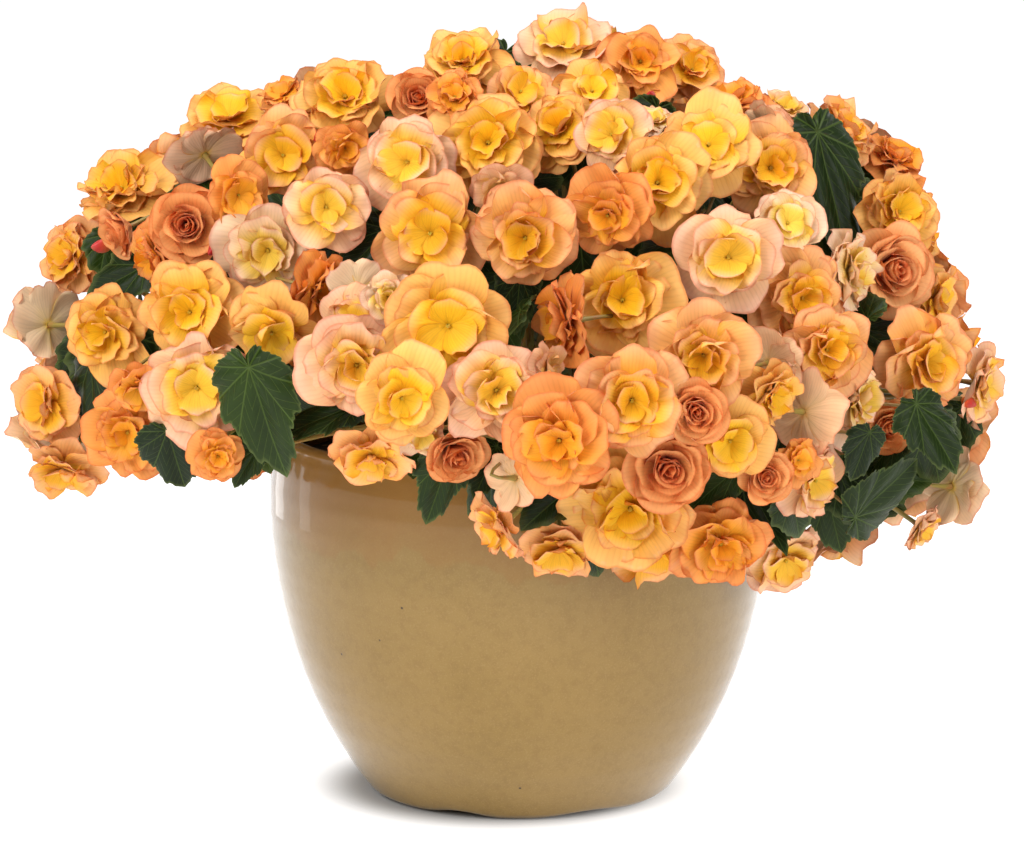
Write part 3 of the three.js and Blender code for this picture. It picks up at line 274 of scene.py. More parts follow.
# %% Blooms of the front
FRONT_BLOOMS = [
    (122, 190, 62, -35, 55, "f", "gold"),
    (72, 257, 50, -45, 5, "f", "apricot"),
    (45, 325, 54, -130, -5, "o", "cream"),
    (106, 332, 56, -18, 0, "f", "gold"),
    (47, 405, 54, -40, 0, "o", "apricot"),
    (62, 470, 50, -25, -45, "o", "apricot"),
    (128, 432, 54, -10, -5, "f", "orange"),
    (197, 387, 68, -5, -5, "o", "peach"),
    (190, 312, 58, -10, 5, "f", "gold"),
    (187, 225, 42, -5, 10, "r", "flame"),
    (157, 258, 50, -50, -20, "f", "orange"),
    (238, 195, 44, 25, 0, "o", "orange"),
    (283, 155, 54, 0, 5, "o", "apricot"),
    (230, 118, 58, -10, 50, "o", "gold"),
    (203, 152, 44, -150, 30, "o", "peach"),
    (268, 250, 56, -5, -5, "f", "cream"),
    (326, 207, 54, 5, 5, "o", "peach"),
    (318, 290, 50, 60, -10, "f", "orange"),
    (272, 332, 52, -10, -30, "o", "gold"),
    (345, 98, 62, 0, 40, "f", "gold"),
    (282, 95, 34, -20, 60, "o", "orange"),
    (345, 148, 36, 15, -10, "f", "orange"),
    (407, 162, 60, 0, 10, "o", "peach"),
    (430, 233, 66, 0, 0, "o", "apricot"),
    (418, 98, 32, 0, 20, "r", "flame"),
    (463, 62, 52, -5, 50, "f", "gold"),
    (488, 143, 66, 0, 15, "f", "gold"),
    (520, 92, 44, 20, 30, "o", "apricot"),
    (455, 97, 36, -10, 25, "f", "orange"),
    (563, 45, 60, 0, 50, "o", "peach"),
    (600, 48, 40, 20, 60, "o", "peach"),
    (640, 62, 48, 10, 30, "f", "orange"),
    (692, 70, 46, 20, 30, "f", "apricot"),
    (592, 92, 44, 10, 40, "o", "gold"),
    (560, 128, 52, -20, 35, "f", "gold"),
    (525, 238, 62, 0, 5, "f", "apricot"),
    (612, 135, 48, -10, 20, "o", "peach"),
    (657, 183, 62, 5, 15, "f", "gold"),
    (608, 215, 52, -15, -5, "f", "orange"),
    (708, 145, 60, 5, 25, "o", "gold"),
    (732, 103, 48, 10, 65, "f", "orange"),
    (785, 108, 34, 30, 60, "o", "peach"),
    (655, 120, 26, 0, 60, "o", "cream"),
    (770, 168, 60, 15, 10, "f", "apricot"),
    (787, 223, 46, 10, 20, "o", "cream"),
    (728, 257, 64, 0, 5, "o", "peach"),
    (770, 128, 36, 150, 20, "o", "dusky"),
    (842, 132, 54, 50, 45, "f", "apricot"),
    (893, 160, 50, 50, 50, "f", "orange"),
    (898, 212, 56, 30, 15, "f", "gold"),
    (892, 270, 50, 25, 5, "r", "rose"),
    (935, 300, 42, 55, -5, "o", "gold"),
    (848, 272, 52, 65, 5, "f", "cream"),
    (802, 298, 58, 15, 5, "f", "apricot"),
    (826, 350, 56, 20, 0, "f", "apricot"),
    (622, 300, 64, 0, 5, "f", "gold"),
    (565, 322, 54, -70, -5, "f", "orange"),
    (703, 355, 58, 0, 0, "f", "apricot"),
    (925, 362, 66, 30, 0, "f", "apricot"),
    (980, 384, 56, 65, -5, "o", "peach"),
    (856, 398, 52, 60, 0, "f", "cream"),
    (887, 428, 30, 15, 0, "r", "flame"),
    (772, 394, 46, 40, -10, "f", "gold"),
    (806, 412, 46, 140, -10, "o", "dusky"),
    (770, 362, 40, 150, 0, "o", "dusky"),
    (632, 400, 66, 0, 0, "f", "apricot"),
    (560, 440, 66, -20, -5, "f", "orange"),
    (697, 412, 34, 10, 0, "r", "flame"),
    (730, 441, 50, 5, -5, "o", "gold"),
    (668, 468, 44, 5, 0, "r", "flame"),
    (630, 508, 74, 0, -10, "f", "gold"),
    (558, 550, 50, -5, -40, "o", "apricot"),
    (497, 528, 42, -50, -20, "o", "apricot"),
    (720, 543, 58, 10, -20, "f", "orange"),
    (785, 560, 54, 30, -30, "o", "peach"),
    (765, 477, 28, 10, 0, "r", "flame"),
    (798, 460, 30, 30, 0, "o", "orange"),
    (814, 480, 52, 50, -15, "o", "peach"),
    (357, 365, 58, -5, 0, "f", "peach"),
    (355, 322, 46, 0, 20, "o", "peach"),
    (402, 398, 52, 5, -5, "o", "gold"),
    (448, 325, 72, 0, -5, "o", "gold"),
    (496, 390, 62, 10, 0, "f", "peach"),
    (455, 455, 34, 20, -20, "r", "flame"),
    (370, 457, 48, -5, -40, "o", "apricot"),
    (388, 297, 32, 10, 0, "f", "cream"),
    (356, 290, 38, -150, 0, "o", "cream"),
    (548, 372, 34, 60, 0, "o", "dusky"),
    (517, 478, 38, 150, -10, "o", "dusky"),
    (955, 487, 50, 130, -10, "o", "cream"),
    (218, 456, 32, 10, -10, "f", "orange"),
    (922, 528, 34, 60, -30, "o", "peach"),
    (500, 190, 36, 0, -20, "o", "dusky"),
    (118, 232, 30, -60, -20, "r", "flame"),
    (137, 388, 36, 0, -30, "o", "orange"),
    (422, 435, 30, 10, -30, "o", "cream"),
]
RED_BUDS = [
    (322, 145, 19, -20, 60),
    (217, 246, 15, -40, -30),
    (650, 99, 13, 0, 40),
    (103, 246, 14, -60, 0),
    (968, 402, 10, 60, -20),
    (300, 372, 12, -10, -50),
    (426, 404, 14, 20, -60),
    (786, 380, 14, 20, 0),
]
# Each row: pixels across and down, mm behind the dome, length and width in mm, the way the upper face looks
# (degrees right, degrees up), and the way the tip points (degrees clockwise from straight up).
FRONT_LEAVES = [
    (264, 425, 24, 84, 62, -15, 0, 180),
    (318, 415, 34, 78, 62, 5, 0, 200),
    (176, 462, 22, 50, 44, -10, -10, 185),
    (88, 402, 26, 56, 44, -45, 0, 190),
    (186, 192, 30, 50, 44, -30, 50, 300),
    (414, 124, 30, 50, 42, 0, 30, 270),
    (838, 195, 28, 84, 60, 30, 30, 175),
    (940, 436, 14, 62, 56, 30, 0, 110),
    (890, 492, 20, 78, 70, 20, -5, 170),
    (834, 525, 26, 46, 40, 25, -10, 165),
    (440, 488, 20, 52, 36, -5, -15, 185),
    (487, 470, 24, 50, 40, 5, -10, 150),
    (118, 264, 26, 46, 38, -50, 10, 200),
    (244, 468, 6, 30, 24, -10, -10, 190),
    (862, 458, 10, 34, 28, 20, 0, 200),
]

# %% [markdown]
# ## Bloom forms and places
# The CAD model gives a bloom a stack of rings. Only their reach matters here: how far out and how far up each
# ring stands, as shares of the radius. The blooms of the far side are spread evenly over the dome.

# %% Bloom forms and places
WAVE = 0.06
OUTER = [(1, 0.05), (0.8, -0.04)]
REACH = {
    "o": dict(neck=0.42, top=0.32, rims=OUTER + [(0.64, 0.26)]),
    "f": dict(neck=0.42, top=0.42, rims=OUTER + [(0.52, 0.07), (0.68, 0.26), (0.28, 0.16), (0.38, 0.36)]),
    "r": dict(neck=0.75, top=0.62, rims=[(0.86, -0.2), (1, 0.42), (0.5, 0.22), (0.5, 0.56)]),
}


def times(v, size):
    """A vector of three plain numbers times a number."""
    return (v[0] * size, v[1] * size, v[2] * size)


def dot(a, b):
    """The sum of the products of three coordinates."""
    return a[0] * b[0] + a[1] * b[1] + a[2] * b[2]


def along(a, b, share):
    """A place moved by a share of a vector."""
    return (a[0] + b[0] * share, a[1] + b[1] * share, a[2] + b[2] * share)


def reach(bloom, u):
    """How far a bloom reaches from its middle along a unit vector: the farthest rim, or the neck."""
    up = dot(u, bloom.face)
    out = math.sqrt(max(0, 1 - up * up))
    form = REACH[bloom.form]
    rim = max(share * out + lift * up for share, lift in form["rims"])
    return bloom.radius * max(-form["neck"] * up, WAVE * abs(up) + rim)


def front_blooms():
    """One bloom on the dome for each row of the list."""
    return [
        SimpleNamespace(middle=on_dome(x, y), path=-sight_line(x, y), farthest=SETTLE["toward_viewer"],
                        facing=looking(right, up), radius=width / 2, form=form, tint=tint)
        for x, y, width, right, up, form, tint in FRONT_BLOOMS
    ]


def back_tint(i):
    """A tint for a bloom of the far side, drawn by chance in about the shares of the front."""
    tints = ("gold", "apricot", "apricot", "peach", "orange", "cream", "gold", "dusky")
    return tints[int(len(tints) * draw(i, 21))]


def shows_inside(bloom):
    """Whether the whole bloom shows inside the plant's outline: eight of its farthest points are tried."""
    for turn in even_turns(8):
        u = np.array([math.cos(turn), 0, 0]) + rise * math.sin(turn)
        if not inside_outline(bloom.middle + u * reach(bloom, u), BACK_BLOOMS["spare"]):
            return False
    return True


def clear_of(blooms, bloom, room):
    """Whether a bloom keeps a share of the sum of both radii away from every bloom of a list."""
    return all(np.linalg.norm(b.middle - bloom.middle) >= room * (b.radius + bloom.radius) for b in blooms)


def back_blooms(front):
    """The blooms of the far side: even directions from the heart, where the dome looks away from the viewer
    and no bloom is near. One that would show outside the outline slides in towards the heart."""
    found = []
    narrow, wide = BACK_BLOOMS["widths"]
    for i, direction in enumerate(spread(BACK_BLOOMS["lattice"], BACK_BLOOMS["lowest_way"])):
        surface = dome_along(direction)
        normal = dome_normal(surface)
        if surface[2] < BACK_BLOOMS["lowest"] or normal @ away < BACK_BLOOMS["turned_away"]:
            continue
        facing = unit(normal + chance_vector(i, 2, 3, 4) * BACK_BLOOMS["lean"])
        kind = draw(i, 5)
        form = "f" if kind < BACK_FORMS["full"] else "o" if kind < 1 - BACK_FORMS["rose"] else "r"
        bloom = SimpleNamespace(
            middle=surface, path=normal, farthest=SETTLE["outward"], facing=facing, face=facing,
            radius=(narrow + (wide - narrow) * draw(i, 1)) / 2, form=form, tint=back_tint(i),
        )
        for _ in range(BACK_BLOOMS["slides"]):
            if shows_inside(bloom):
                break
            bloom.middle = bloom.middle - direction * BACK_BLOOMS["slide"]
        free = clear_of(front, bloom, BACK_BLOOMS["room"]) and clear_of(found, bloom, BACK_BLOOMS["least"])
        if free and shows_inside(bloom):
            found.append(bloom)
    return found


blooms = front_blooms()
blooms += back_blooms(blooms)
print(len(blooms), "blooms")

# %% [markdown]
# ## Room between the blooms
# Blooms that touch slide past each other, the nearer one towards the viewer and the farther one into the
# bush, as they do when a plant grows crowded. Many small pushes in turn settle them. Each push needs the one
# before it, so this is worked out pair by pair with plain numbers.

# %% Settle the blooms
def push_apart(a, b, path):
    """The push apart along a path that just clears two blooms, 0 where some direction already parts them."""
    gap = along(b.at, a.at, -1)
    between = times(gap, 1 / math.sqrt(dot(gap, gap)))
    tries = [a.face, b.face, between, path, along(a.face, b.face, 1), along(between, a.face, 1),
             along(between, b.face, 1), along(a.face, between, -1), along(b.face, between, -1)]
    least = math.inf
    for u in tries:
        size = dot(u, u)
        if size < SETTLE["tiny"]:
            continue
        u = times(u, (1 if dot(u, path) >= 0 else -1) / math.sqrt(size))
        lack = reach(a, u) + reach(b, times(u, -1)) + SETTLE["clear"] - dot(gap, u)
        if lack <= 0:
            return 0
        least = min(least, lack / max(dot(u, path), SETTLE["slant"]))
    return least


def settle(blooms):
    """Rounds of small pushes along the paths of two blooms that touch, each held to its farthest slide."""
    for b in blooms:
        b.at, b.face, b.way = (tuple(map(float, v)) for v in (b.middle, b.facing, b.path))
        b.start = b.at
    reachable = 2 * (SETTLE["toward_viewer"] + SETTLE["spare"])
    near = [
        (a, b) for i, a in enumerate(blooms) for b in blooms[i + 1:]
        if math.dist(a.at, b.at) < a.radius + b.radius + SETTLE["clear"] + reachable
    ]
    for _ in range(SETTLE["rounds"]):
        for a, b in near:
            if math.dist(a.at, b.at) >= a.radius + b.radius + SETTLE["clear"]:
                continue
            path = along(a.way, b.way, 1)
            path = times(path, 1 / math.sqrt(dot(path, path)))
            order = 1 if dot(along(b.at, a.at, -1), path) >= 0 else -1
            push = push_apart(a, b, times(path, order))
            move = min(push, SETTLE["longest"]) * SETTLE["share"] * order
            a.at, b.at = along(a.at, a.way, -move), along(b.at, b.way, move)
        for b in blooms:
            out = dot(along(b.at, b.start, -1), b.way)
            kept = min(max(out, -SETTLE["inward"]), b.farthest)
            b.at = along(b.at, b.way, kept - out)
            if over_pot(np.array(b.at)):
                b.at = along(b.at, b.way, SETTLE["lift"])
    for n, b in enumerate(blooms):
        b.n, b.middle = n, np.array(b.at)


settle(blooms)
print("farthest slide:", round(max(math.dist(b.at, b.start) for b in blooms), 1), "mm")

# %% [markdown]
# ## Sprays and stems
# Twelve fleshy stems rise from the soil and end in crowns. Each spray grows from the nearest crown and forks
# below its blooms. The bloom straight ahead carries on the stalk, and the others branch off in turn.

# %% Sprays and their stalks
crowns = [
    np.array([d[0] * CROWN["across"], d[1] * CROWN["across"], CROWN["level"] + d[2] * CROWN["up"]])
    for d in spread(STEM["count"], 0.02)
]


def nearest(direction, sprays):
    """The spray whose axis lies nearest to a direction."""
    return min(sprays, key=lambda s: np.linalg.norm(s.axis - direction))


def grow_sprays():
    """Share out the blooms and buds over evenly spread axes, and find where each spray starts and forks."""
    axes = spread(SPRAY["count"], SPRAY["lowest"])
    grown = [SimpleNamespace(axis=axis, blooms=[], buds=[]) for axis in axes]
    for b in blooms:
        nearest(unit(b.middle - HEART), grown).blooms.append(b)
    grown = [s for s in grown if s.blooms]
    for x, y, length, right, up in RED_BUDS:
        middle = on_dome(x, y) + BUD["behind"] * sight_line(x, y)
        bud = SimpleNamespace(middle=middle, length=length, facing=looking(right, up))
        nearest(unit(middle - HEART), grown).buds.append(bud)
    lowest = SKIRT["below"] + SKIRT["over"]
    for s in grown:
        fork = HEART + (np.mean([b.middle for b in s.blooms], 0) - HEART) * SPRAY["fork"]
        if fork[2] < lowest:
            level = math.hypot(fork[0], fork[1])
            out = max(level, SKIRT["radius"]) / level
            fork = np.array([fork[0] * out, fork[1] * out, lowest])
        s.crown = min(range(len(crowns)), key=lambda i: np.linalg.norm(crowns[i] - fork))
        s.along = unit(fork - crowns[s.crown])
        s.start = crowns[s.crown] + s.along * (SHOOT["length"] + GAP)
        s.fork = fork
        route_stalks(s)
    return grown


def bloom_pair(bloom):
    """The two directions across a bloom, turned by chance."""
    return cross_pair(bloom.facing, 2 * math.pi * draw(bloom.n, 6))


def route_stalks(s):
    """The points of each flower stalk, from the fork to the neck of its bloom. One that comes from the side
    first runs to a point straight behind the bloom."""
    s.blooms.sort(key=lambda b: -(unit(b.middle - s.fork) @ s.along))
    lead = s.blooms[0]
    pair = [swung(v, lead.facing, s.along) for v in bloom_pair(lead)]
    for i, flower in enumerate(s.blooms + s.buds):
        bud = hasattr(flower, "length")
        back = flower.length * BUD["neck"] if bud else flower.radius * REACH[flower.form]["neck"]
        neck = flower.middle - flower.facing * back
        below = s.fork - s.along * SPRAY["whorl"] * i
        root = root_under_side(below, pair, SPRAY["sides"], SPRAY["stalk"], SPRAY["pedicel"], neck - below)
        flower.route = [(root, SPRAY["pedicel"])]
        if i == 0:
            flower.route = [(s.start, SPRAY["stalk"]), (s.fork, SPRAY["stalk"])]
        if unit(neck - root) @ flower.facing < SPRAY["sideways"]:
            flower.route.append((neck - flower.facing * SPRAY["straight"], SPRAY["pedicel"]))
        flower.route.append((neck, SPRAY["pedicel"] + SPRAY["flare"]))


sprays = grow_sprays()
print(len(sprays), "sprays")

# %% [markdown]
# ## Where the leaves go
# A leaf grows where there is light and room. Each leaf tries many places near where it shows, and takes the
# first that is clear of the blooms, the stalks and the leaves before it. The tests run on whole arrays of
# points: dots spread over the blade and the stalk of a leaf against everything near.

# %% Stems and what a leaf keeps clear of
LEAF_FORM = dict(wide=1.04, narrow=0.92, arch=0.16, droop=0.14, fold=0.05)
stems = []
for crown in crowns:
    flat = crown * [STEM["foot"], STEM["foot"], 0]
    knee = flat + UP * (SOIL["top"] + SOIL["mound"] + STEM["knee"])
    pair = [swung(v, UP, unit(crown - knee)) for v in cross_pair(UP)]
    foot = flat + UP * (SOIL["top"] - STEM["planted"])
    stems.append(SimpleNamespace(crown=crown, knee=knee, pair=pair, foot=foot, leaves=[]))

lines = []
for s in sprays:
    for flower in s.blooms + s.buds:
        lines += [(a, b, r, -1) for (a, r), (b, _) in zip(flower.route, flower.route[1:])]
    for b in s.buds:
        lines.append((b.middle, b.middle + b.facing * b.length * BUD["reach"], b.length * BUD["radius"], -1))
    lines.append((crowns[s.crown], s.start, SHOOT["radius"], s.crown))
lines += [(s.knee, s.crown, STEM["base"], i) for i, s in enumerate(stems)]
# Marks along the lines and round the petal rims: x, y, z and a radius. They are tested against leaf blades.
MARKS = dict(apart=4, round_rim=16, rim_radius=0.5)
marks = []
for a, b, r, _ in lines:
    steps = np.linspace(0, 1, math.ceil(math.dist(a, b) / MARKS["apart"]) + 1)[:, None]
    marks.append(np.hstack([a + (b - a) * steps, np.full((len(steps), 1), r)]))
for b in blooms:
    ring = circle(even_turns(MARKS["round_rim"]), *cross_pair(b.facing))
    for share, lift in REACH[b.form]["rims"]:
        if (share, lift) != OUTER[1]:
            rim = b.middle + b.radius * (ring * share + b.facing * lift)
            marks.append(np.hstack([rim, np.full((len(rim), 1), MARKS["rim_radius"])]))
marks = np.concatenate(marks)
line_from, line_to = (np.array([line[i] for line in lines]) for i in (0, 1))
line_radius, line_stem = (np.array([line[i] for line in lines]) for i in (2, 3))
bloom_middle = np.array([b.middle for b in blooms])
bloom_facing = np.array([b.facing for b in blooms])
bloom_size = np.array([(b.radius, REACH[b.form]["top"], REACH[b.form]["neck"]) for b in blooms])
placed = np.zeros((0, 3))
print(len(lines), "lines and", len(marks), "marks to keep clear of")


# %% Clearance of a leaf
BLADE = dict(foot=-0.12, half=0.53, narrowing=0.88, tip=1.03)
STALK_STEP = 5


def blade_drop(leaf, x, y):
    """The blade arches down towards its tip and its sides: both fall with the square of the distance."""
    return -LEAF_FORM["droop"] * leaf.length * x * x - LEAF_FORM["arch"] * leaf.width * 2 * y * y


def on_blade(leaf, x, y, lift=0.0):
    """Places on the blade, from shares of its length and width, and so many mm above its middle surface."""
    x, y = np.asarray(x, float), np.asarray(y, float)
    climb = blade_drop(leaf, x, y) + lift
    flat = x[..., None] * leaf.length * leaf.forward + y[..., None] * leaf.width * leaf.side
    return leaf.foot + flat + climb[..., None] * leaf.normal


def clear_of_lines(p, which):
    """The distance of each point from each line, less the line's radius: points by lines."""
    start, span = line_from[which], line_to[which] - line_from[which]
    share = np.einsum("plk,lk->pl", p[:, None] - start, span) / (span**2).sum(1)
    nearest_point = start + np.clip(share, 0, 1)[..., None] * span
    return np.linalg.norm(p[:, None] - nearest_point, axis=2) - line_radius[which]


def clear_of_blooms(p, which):
    """How far each point lies outside each bloom's flat dish: the larger of the gap beyond its rim and the
    gap over or under its core."""
    radius, top, neck = bloom_size[which].T
    gap = p[:, None] - bloom_middle[which]
    size = (gap**2).sum(2)
    climb = np.einsum("pbk,bk->pb", gap, bloom_facing[which]) / radius
    level = np.sqrt(np.maximum(0, size / radius**2 - climb**2))
    core = np.where(climb > 0, np.minimum(top, 0.1 + 0.9 * (1 - level)), 0.08 + neck * (1 - level))
    return np.maximum(np.sqrt(size) - radius, radius * (np.abs(climb) - core))


def clear_of_blade(leaf, near):
    """How far each mark lies above or below the blade, which thickens at its fold; marks beside its
    outline, a strip that narrows to the tip, don't count."""
    gap = near[:, :3] - leaf.foot
    x, y = gap @ leaf.forward / leaf.length, gap @ leaf.side / leaf.width
    fold = LEAF_FORM["fold"] * leaf.width * np.maximum(0, 1 - np.abs(y) * 4) / 2
    climb = gap @ leaf.normal - blade_drop(leaf, x, y) + fold
    half = np.minimum(BLADE["half"], BLADE["narrowing"] * (BLADE["tip"] - x))
    beside = (x < BLADE["foot"]) | (np.abs(y) > half)
    return np.where(beside, np.inf, np.abs(climb) - near[:, 3] - LEAF["thickness"] / 2 - fold)


# Dots over a blade: shares of its length, and shares of its width that narrow towards the tip.
DOTS_X = np.repeat([-0.06, 0.06, 0.2, 0.34, 0.48, 0.62, 0.76, 0.9], 7)
DOTS_Y = np.tile([-0.46, -0.31, -0.15, 0, 0.15, 0.31, 0.46], 8) * np.minimum(1.1, 1.5 - 1.35 * DOTS_X)


def leaf_dots(leaf):
    """Dots over the blade with its tip, and dots every few mm along the stalk."""
    blade = on_blade(leaf, np.append(DOTS_X, 1), np.append(DOTS_Y, 0))
    stalk = []
    for a, b in zip(leaf.route, leaf.route[1:]):
        count = math.ceil(math.dist(a, b) / STALK_STEP)
        stalk.append(a + (b - a) * (np.arange(1, count + 1) / count)[:, None])
    return blade, np.concatenate(stalk)


def clearance(leaf):
    """The narrowest gap between a leaf and all that is near it."""
    blade, stalk = leaf_dots(leaf)
    every = np.vstack([blade, stalk])
    middle = (every.min(0) + every.max(0)) / 2
    hull = np.linalg.norm(every - middle, axis=1).max() + LEAF["apart"]
    near_blooms = np.linalg.norm(bloom_middle - middle, axis=1) < hull + bloom_size[:, 0]
    near_lines = clear_of_lines(middle[None], slice(None))[0] < hull
    near_dots = placed[np.linalg.norm(placed - middle, axis=1) < hull]
    near_marks = marks[np.linalg.norm(marks[:, :3] - middle, axis=1) < hull]
    others = near_lines & (line_stem != leaf.stem)
    low = np.hypot(blade[:, 0], blade[:, 1]) < POT["belly"] + LEAF["off_pot"]
    gaps = [
        clear_of_blade(leaf, near_marks),
        clear_of_blooms(blade, near_blooms),
        clear_of_lines(blade, near_lines),
        np.where(low, blade[:, 2] - POT["height"] - LEAF["off_pot"], np.inf),
        clear_of_blooms(stalk, near_blooms) - LEAF["stalk"],
    ]
    if not leaf.shade:
        gaps.append(clear_of_lines(stalk, others) - LEAF["stalk"])
    if len(near_dots):
        gaps.append(np.linalg.norm(blade[:, None] - near_dots, axis=2) - LEAF["apart"])
    if len(near_dots) and not leaf.shade:
        gaps.append(np.linalg.norm(stalk[:, None] - near_dots, axis=2) - LEAF["apart"] * 0.6)
    return min(g.min(initial=np.inf) for g in gaps)


# %% [markdown]
# The places tried for a leaf of the front move farther from where it shows as they go on. Leaves under the
# hanging edge and inner leaves fill the room that is left.

# %% Place the leaves
OVER_RIM = dict(near=25, out=14, up=22)
GOLDEN_SHARE = 0.618
ROW_SEEDS, HIDDEN_SEEDS = 211, 49


def leaf_at(middle, normal, pointing, length, width):
    """A leaf with its middle at a point. Its stalk starts on the nearest stem, each a golden share farther up
    than the last, and bends over the rim where it would meet the pot."""
    forward = unit(pointing - normal * (pointing @ normal))
    foot = middle - forward * length / 2
    i = int(np.argmin(np.linalg.norm(np.array(crowns) - foot, axis=1)))
    stem = stems[i]
    share = LEAF["lowest"] + (LEAF["highest"] - LEAF["lowest"]) * ((GOLDEN_SHARE * len(stem.leaves)) % 1)
    axis = stem.knee + (stem.crown - stem.knee) * share
    thick = STEM["base"] + (STEM["tip"] - STEM["base"]) * (0.5 + share / 2)
    route = [root_under_side(axis, stem.pair, STEM["sides"], thick, LEAF["stalk"], foot - axis), foot]
    level = math.hypot(foot[0], foot[1])
    if foot[2] < POT["height"] + OVER_RIM["near"] and level > POT["rim"]:
        share = (POT["rim"] + OVER_RIM["out"]) / level
        route.insert(1, np.array([foot[0] * share, foot[1] * share, POT["height"] + OVER_RIM["up"]]))
    return SimpleNamespace(foot=foot, forward=forward, normal=normal, side=np.cross(normal, forward),
                           length=length, width=width, stem=i, route=route, shade=False)


def place(candidates, least=LEAF["least"]):
    """Keep the first leaf that is clear enough, or else the clearest; with none that is clear, keep none."""
    global placed
    clearest, most = None, -math.inf
    for leaf in candidates:
        clear = clearance(leaf)
        if clear > most:
            clearest, most = leaf, clear
        if clear > LEAF["clear"]:
            break
    if most < least:
        return False
    blade, stalk = leaf_dots(clearest)
    placed = np.vstack([placed, blade, stalk[3:]])
    stems[clearest.stem].leaves.append(clearest)
    return True


def front_leaf_places(row, spec):
    """Places round where a leaf of the front shows, farther off and smaller as they go on."""
    x, y, behind, length, width, right, up, clock = spec
    for k in range(FRONT_TRIES["count"]):
        free = math.sqrt(k / FRONT_TRIES["near"])
        size = 1 - FRONT_TRIES["shrink"] * k / FRONT_TRIES["count"]
        more, swing, sway = chance_vector(row * ROW_SEEDS + k, 12, 14, 15) * free
        middle = on_dome(x, y) + sight_line(x, y) * (behind + 50 * more)
        turn = math.radians(clock + 70 * swing)
        pointing = np.array([math.sin(turn), 0, 0]) + rise * math.cos(turn)
        normal = looking(right + 70 * sway, up + 60 * swing)
        yield leaf_at(middle, normal, pointing, length * size, width * size)


def skirt_leaf_places(i):
    """Places under the hanging edge of the dome, in one share of the circle, with the tip inside the
    outline."""
    for k in range(HIDDEN_TRIES):
        n = i * HIDDEN_SEEDS + k
        turn = 2 * math.pi * (i + 0.8 * draw(n, 8)) / SKIRT_LEAVES["count"]
        out = np.array([math.cos(turn), math.sin(turn), 0])
        middle = UP * (SKIRT_LEAVES["height"] + 30 * (draw(n, 9) - 0.5))
        middle = middle + out * (SKIRT_LEAVES["radius"] + 24 * (draw(n, 10) - 0.5))
        size = 0.75 + 0.35 * draw(n, 12)
        leaf = leaf_at(middle, unit(out + UP * (0.6 + draw(n, 11))), out - UP, SKIRT_LEAVES["length"] * size,
                       SKIRT_LEAVES["width"] * size)
        if inside_outline(on_blade(leaf, 1, 0), 0):
            yield leaf


def inner_leaf_places(i, direction):
    """Places at and under the dome in one direction, smaller as they go on."""
    surface = dome_along(direction)
    for k in range(HIDDEN_TRIES):
        n = i * HIDDEN_SEEDS + k
        depth = INNER_LEAVES["depth"] + 0.1 - 0.3 * draw(n, 13)
        sway = np.array([draw(n, 14) - 0.5, draw(n, 15) - 0.5, draw(n, 16) - 0.2])
        size = 1.1 - 0.35 * (k / HIDDEN_TRIES)
        outward = np.array([direction[0], direction[1], -0.9]) + sway * 0.6
        yield leaf_at(HEART + (surface - HEART) * depth, unit(dome_normal(surface) + sway * 0.9), outward,
                      INNER_LEAVES["length"] * size, INNER_LEAVES["width"] * size)


for row, spec in enumerate(FRONT_LEAVES):
    place(front_leaf_places(row, spec))
for i in range(SKIRT_LEAVES["count"]):
    place(skirt_leaf_places(i))
directions = spread(700, -0.12)
full = [unit(s.fork - HEART) for s in sprays]
full += [unit(on_blade(leaf, 0.5, 0) - HEART) for s in stems for leaf in s.leaves]
inner = 0
for i in range(3 * INNER_LEAVES["count"]):
    if inner < INNER_LEAVES["count"]:
        room = np.linalg.norm(directions[:, None] - np.array(full), axis=2).min(1)
        full.append(directions[np.argmax(room)])
        inner += place(inner_leaf_places(i, full[-1]))
print("leaves on each stem:", [len(s.leaves) for s in stems])

# %% [markdown]
# ## Shade leaves
# A begonia is full of leaves in the shade between its flower stalks, and the gaps between the blooms look
# dark because of them. A gap is a ray into the plant that passes every bloom. The widest gaps are found one
# after another, first along lines of sight through the photo, then straight in all round the dome, and at
# last along lines of sight from the right, the back, the left and above.

# %% Shade leaves
# Pixels between sight lines, directions all round, mm in which a bloom counts as near a ray, the narrowest
# gap in radii, mm that a leaf covers, its least and most length, the clearance it needs, places tried,
# pixels to spare.
SHADE = dict(step=13, all_round=900, near=110, narrowest=0.8, covers=30, size=(36, 74), least=0.3, tries=14,
             spare=4, side_spare=16)
DEPTHS = dict(shallow=(30, 90), deep=(70, 150), wide=(20, 130))
SIDES = np.array([(1, 0, 0.17), (0, 1, 0.17), (-1, 0, 0.17), (-0.4, -0.4, 0.8), (0.4, -0.3, 0.8)])


def gap_widths(starts, ways):
    """For each ray, its distance from the nearest bloom in radii of that bloom; only blooms near the start
    count."""
    gap = bloom_middle[None] - starts[:, None]
    inward = np.einsum("rbk,rk->rb", gap, ways)
    across = np.sqrt(np.maximum(0, (gap**2).sum(2) - inward**2))
    return np.where(np.abs(inward) < SHADE["near"], across / bloom_size[None, :, 0], np.inf).min(1)


def in_shade(leaves, spare=SHADE["spare"]):
    """Of these leaves, the ones that lie inside the dome and the outline, with so many pixels to spare."""
    for leaf in leaves:
        leaf.shade = True
        rim = on_blade(leaf, np.array([-0.1, 0.3, 0.3, 0.7, 0.7, 1]), np.array([0, -0.5, 0.5, -0.3, 0.3, 0]))
        if dome_share(rim).max() < 1 and all(inside_outline(p, spare) for p in rim):
            yield leaf


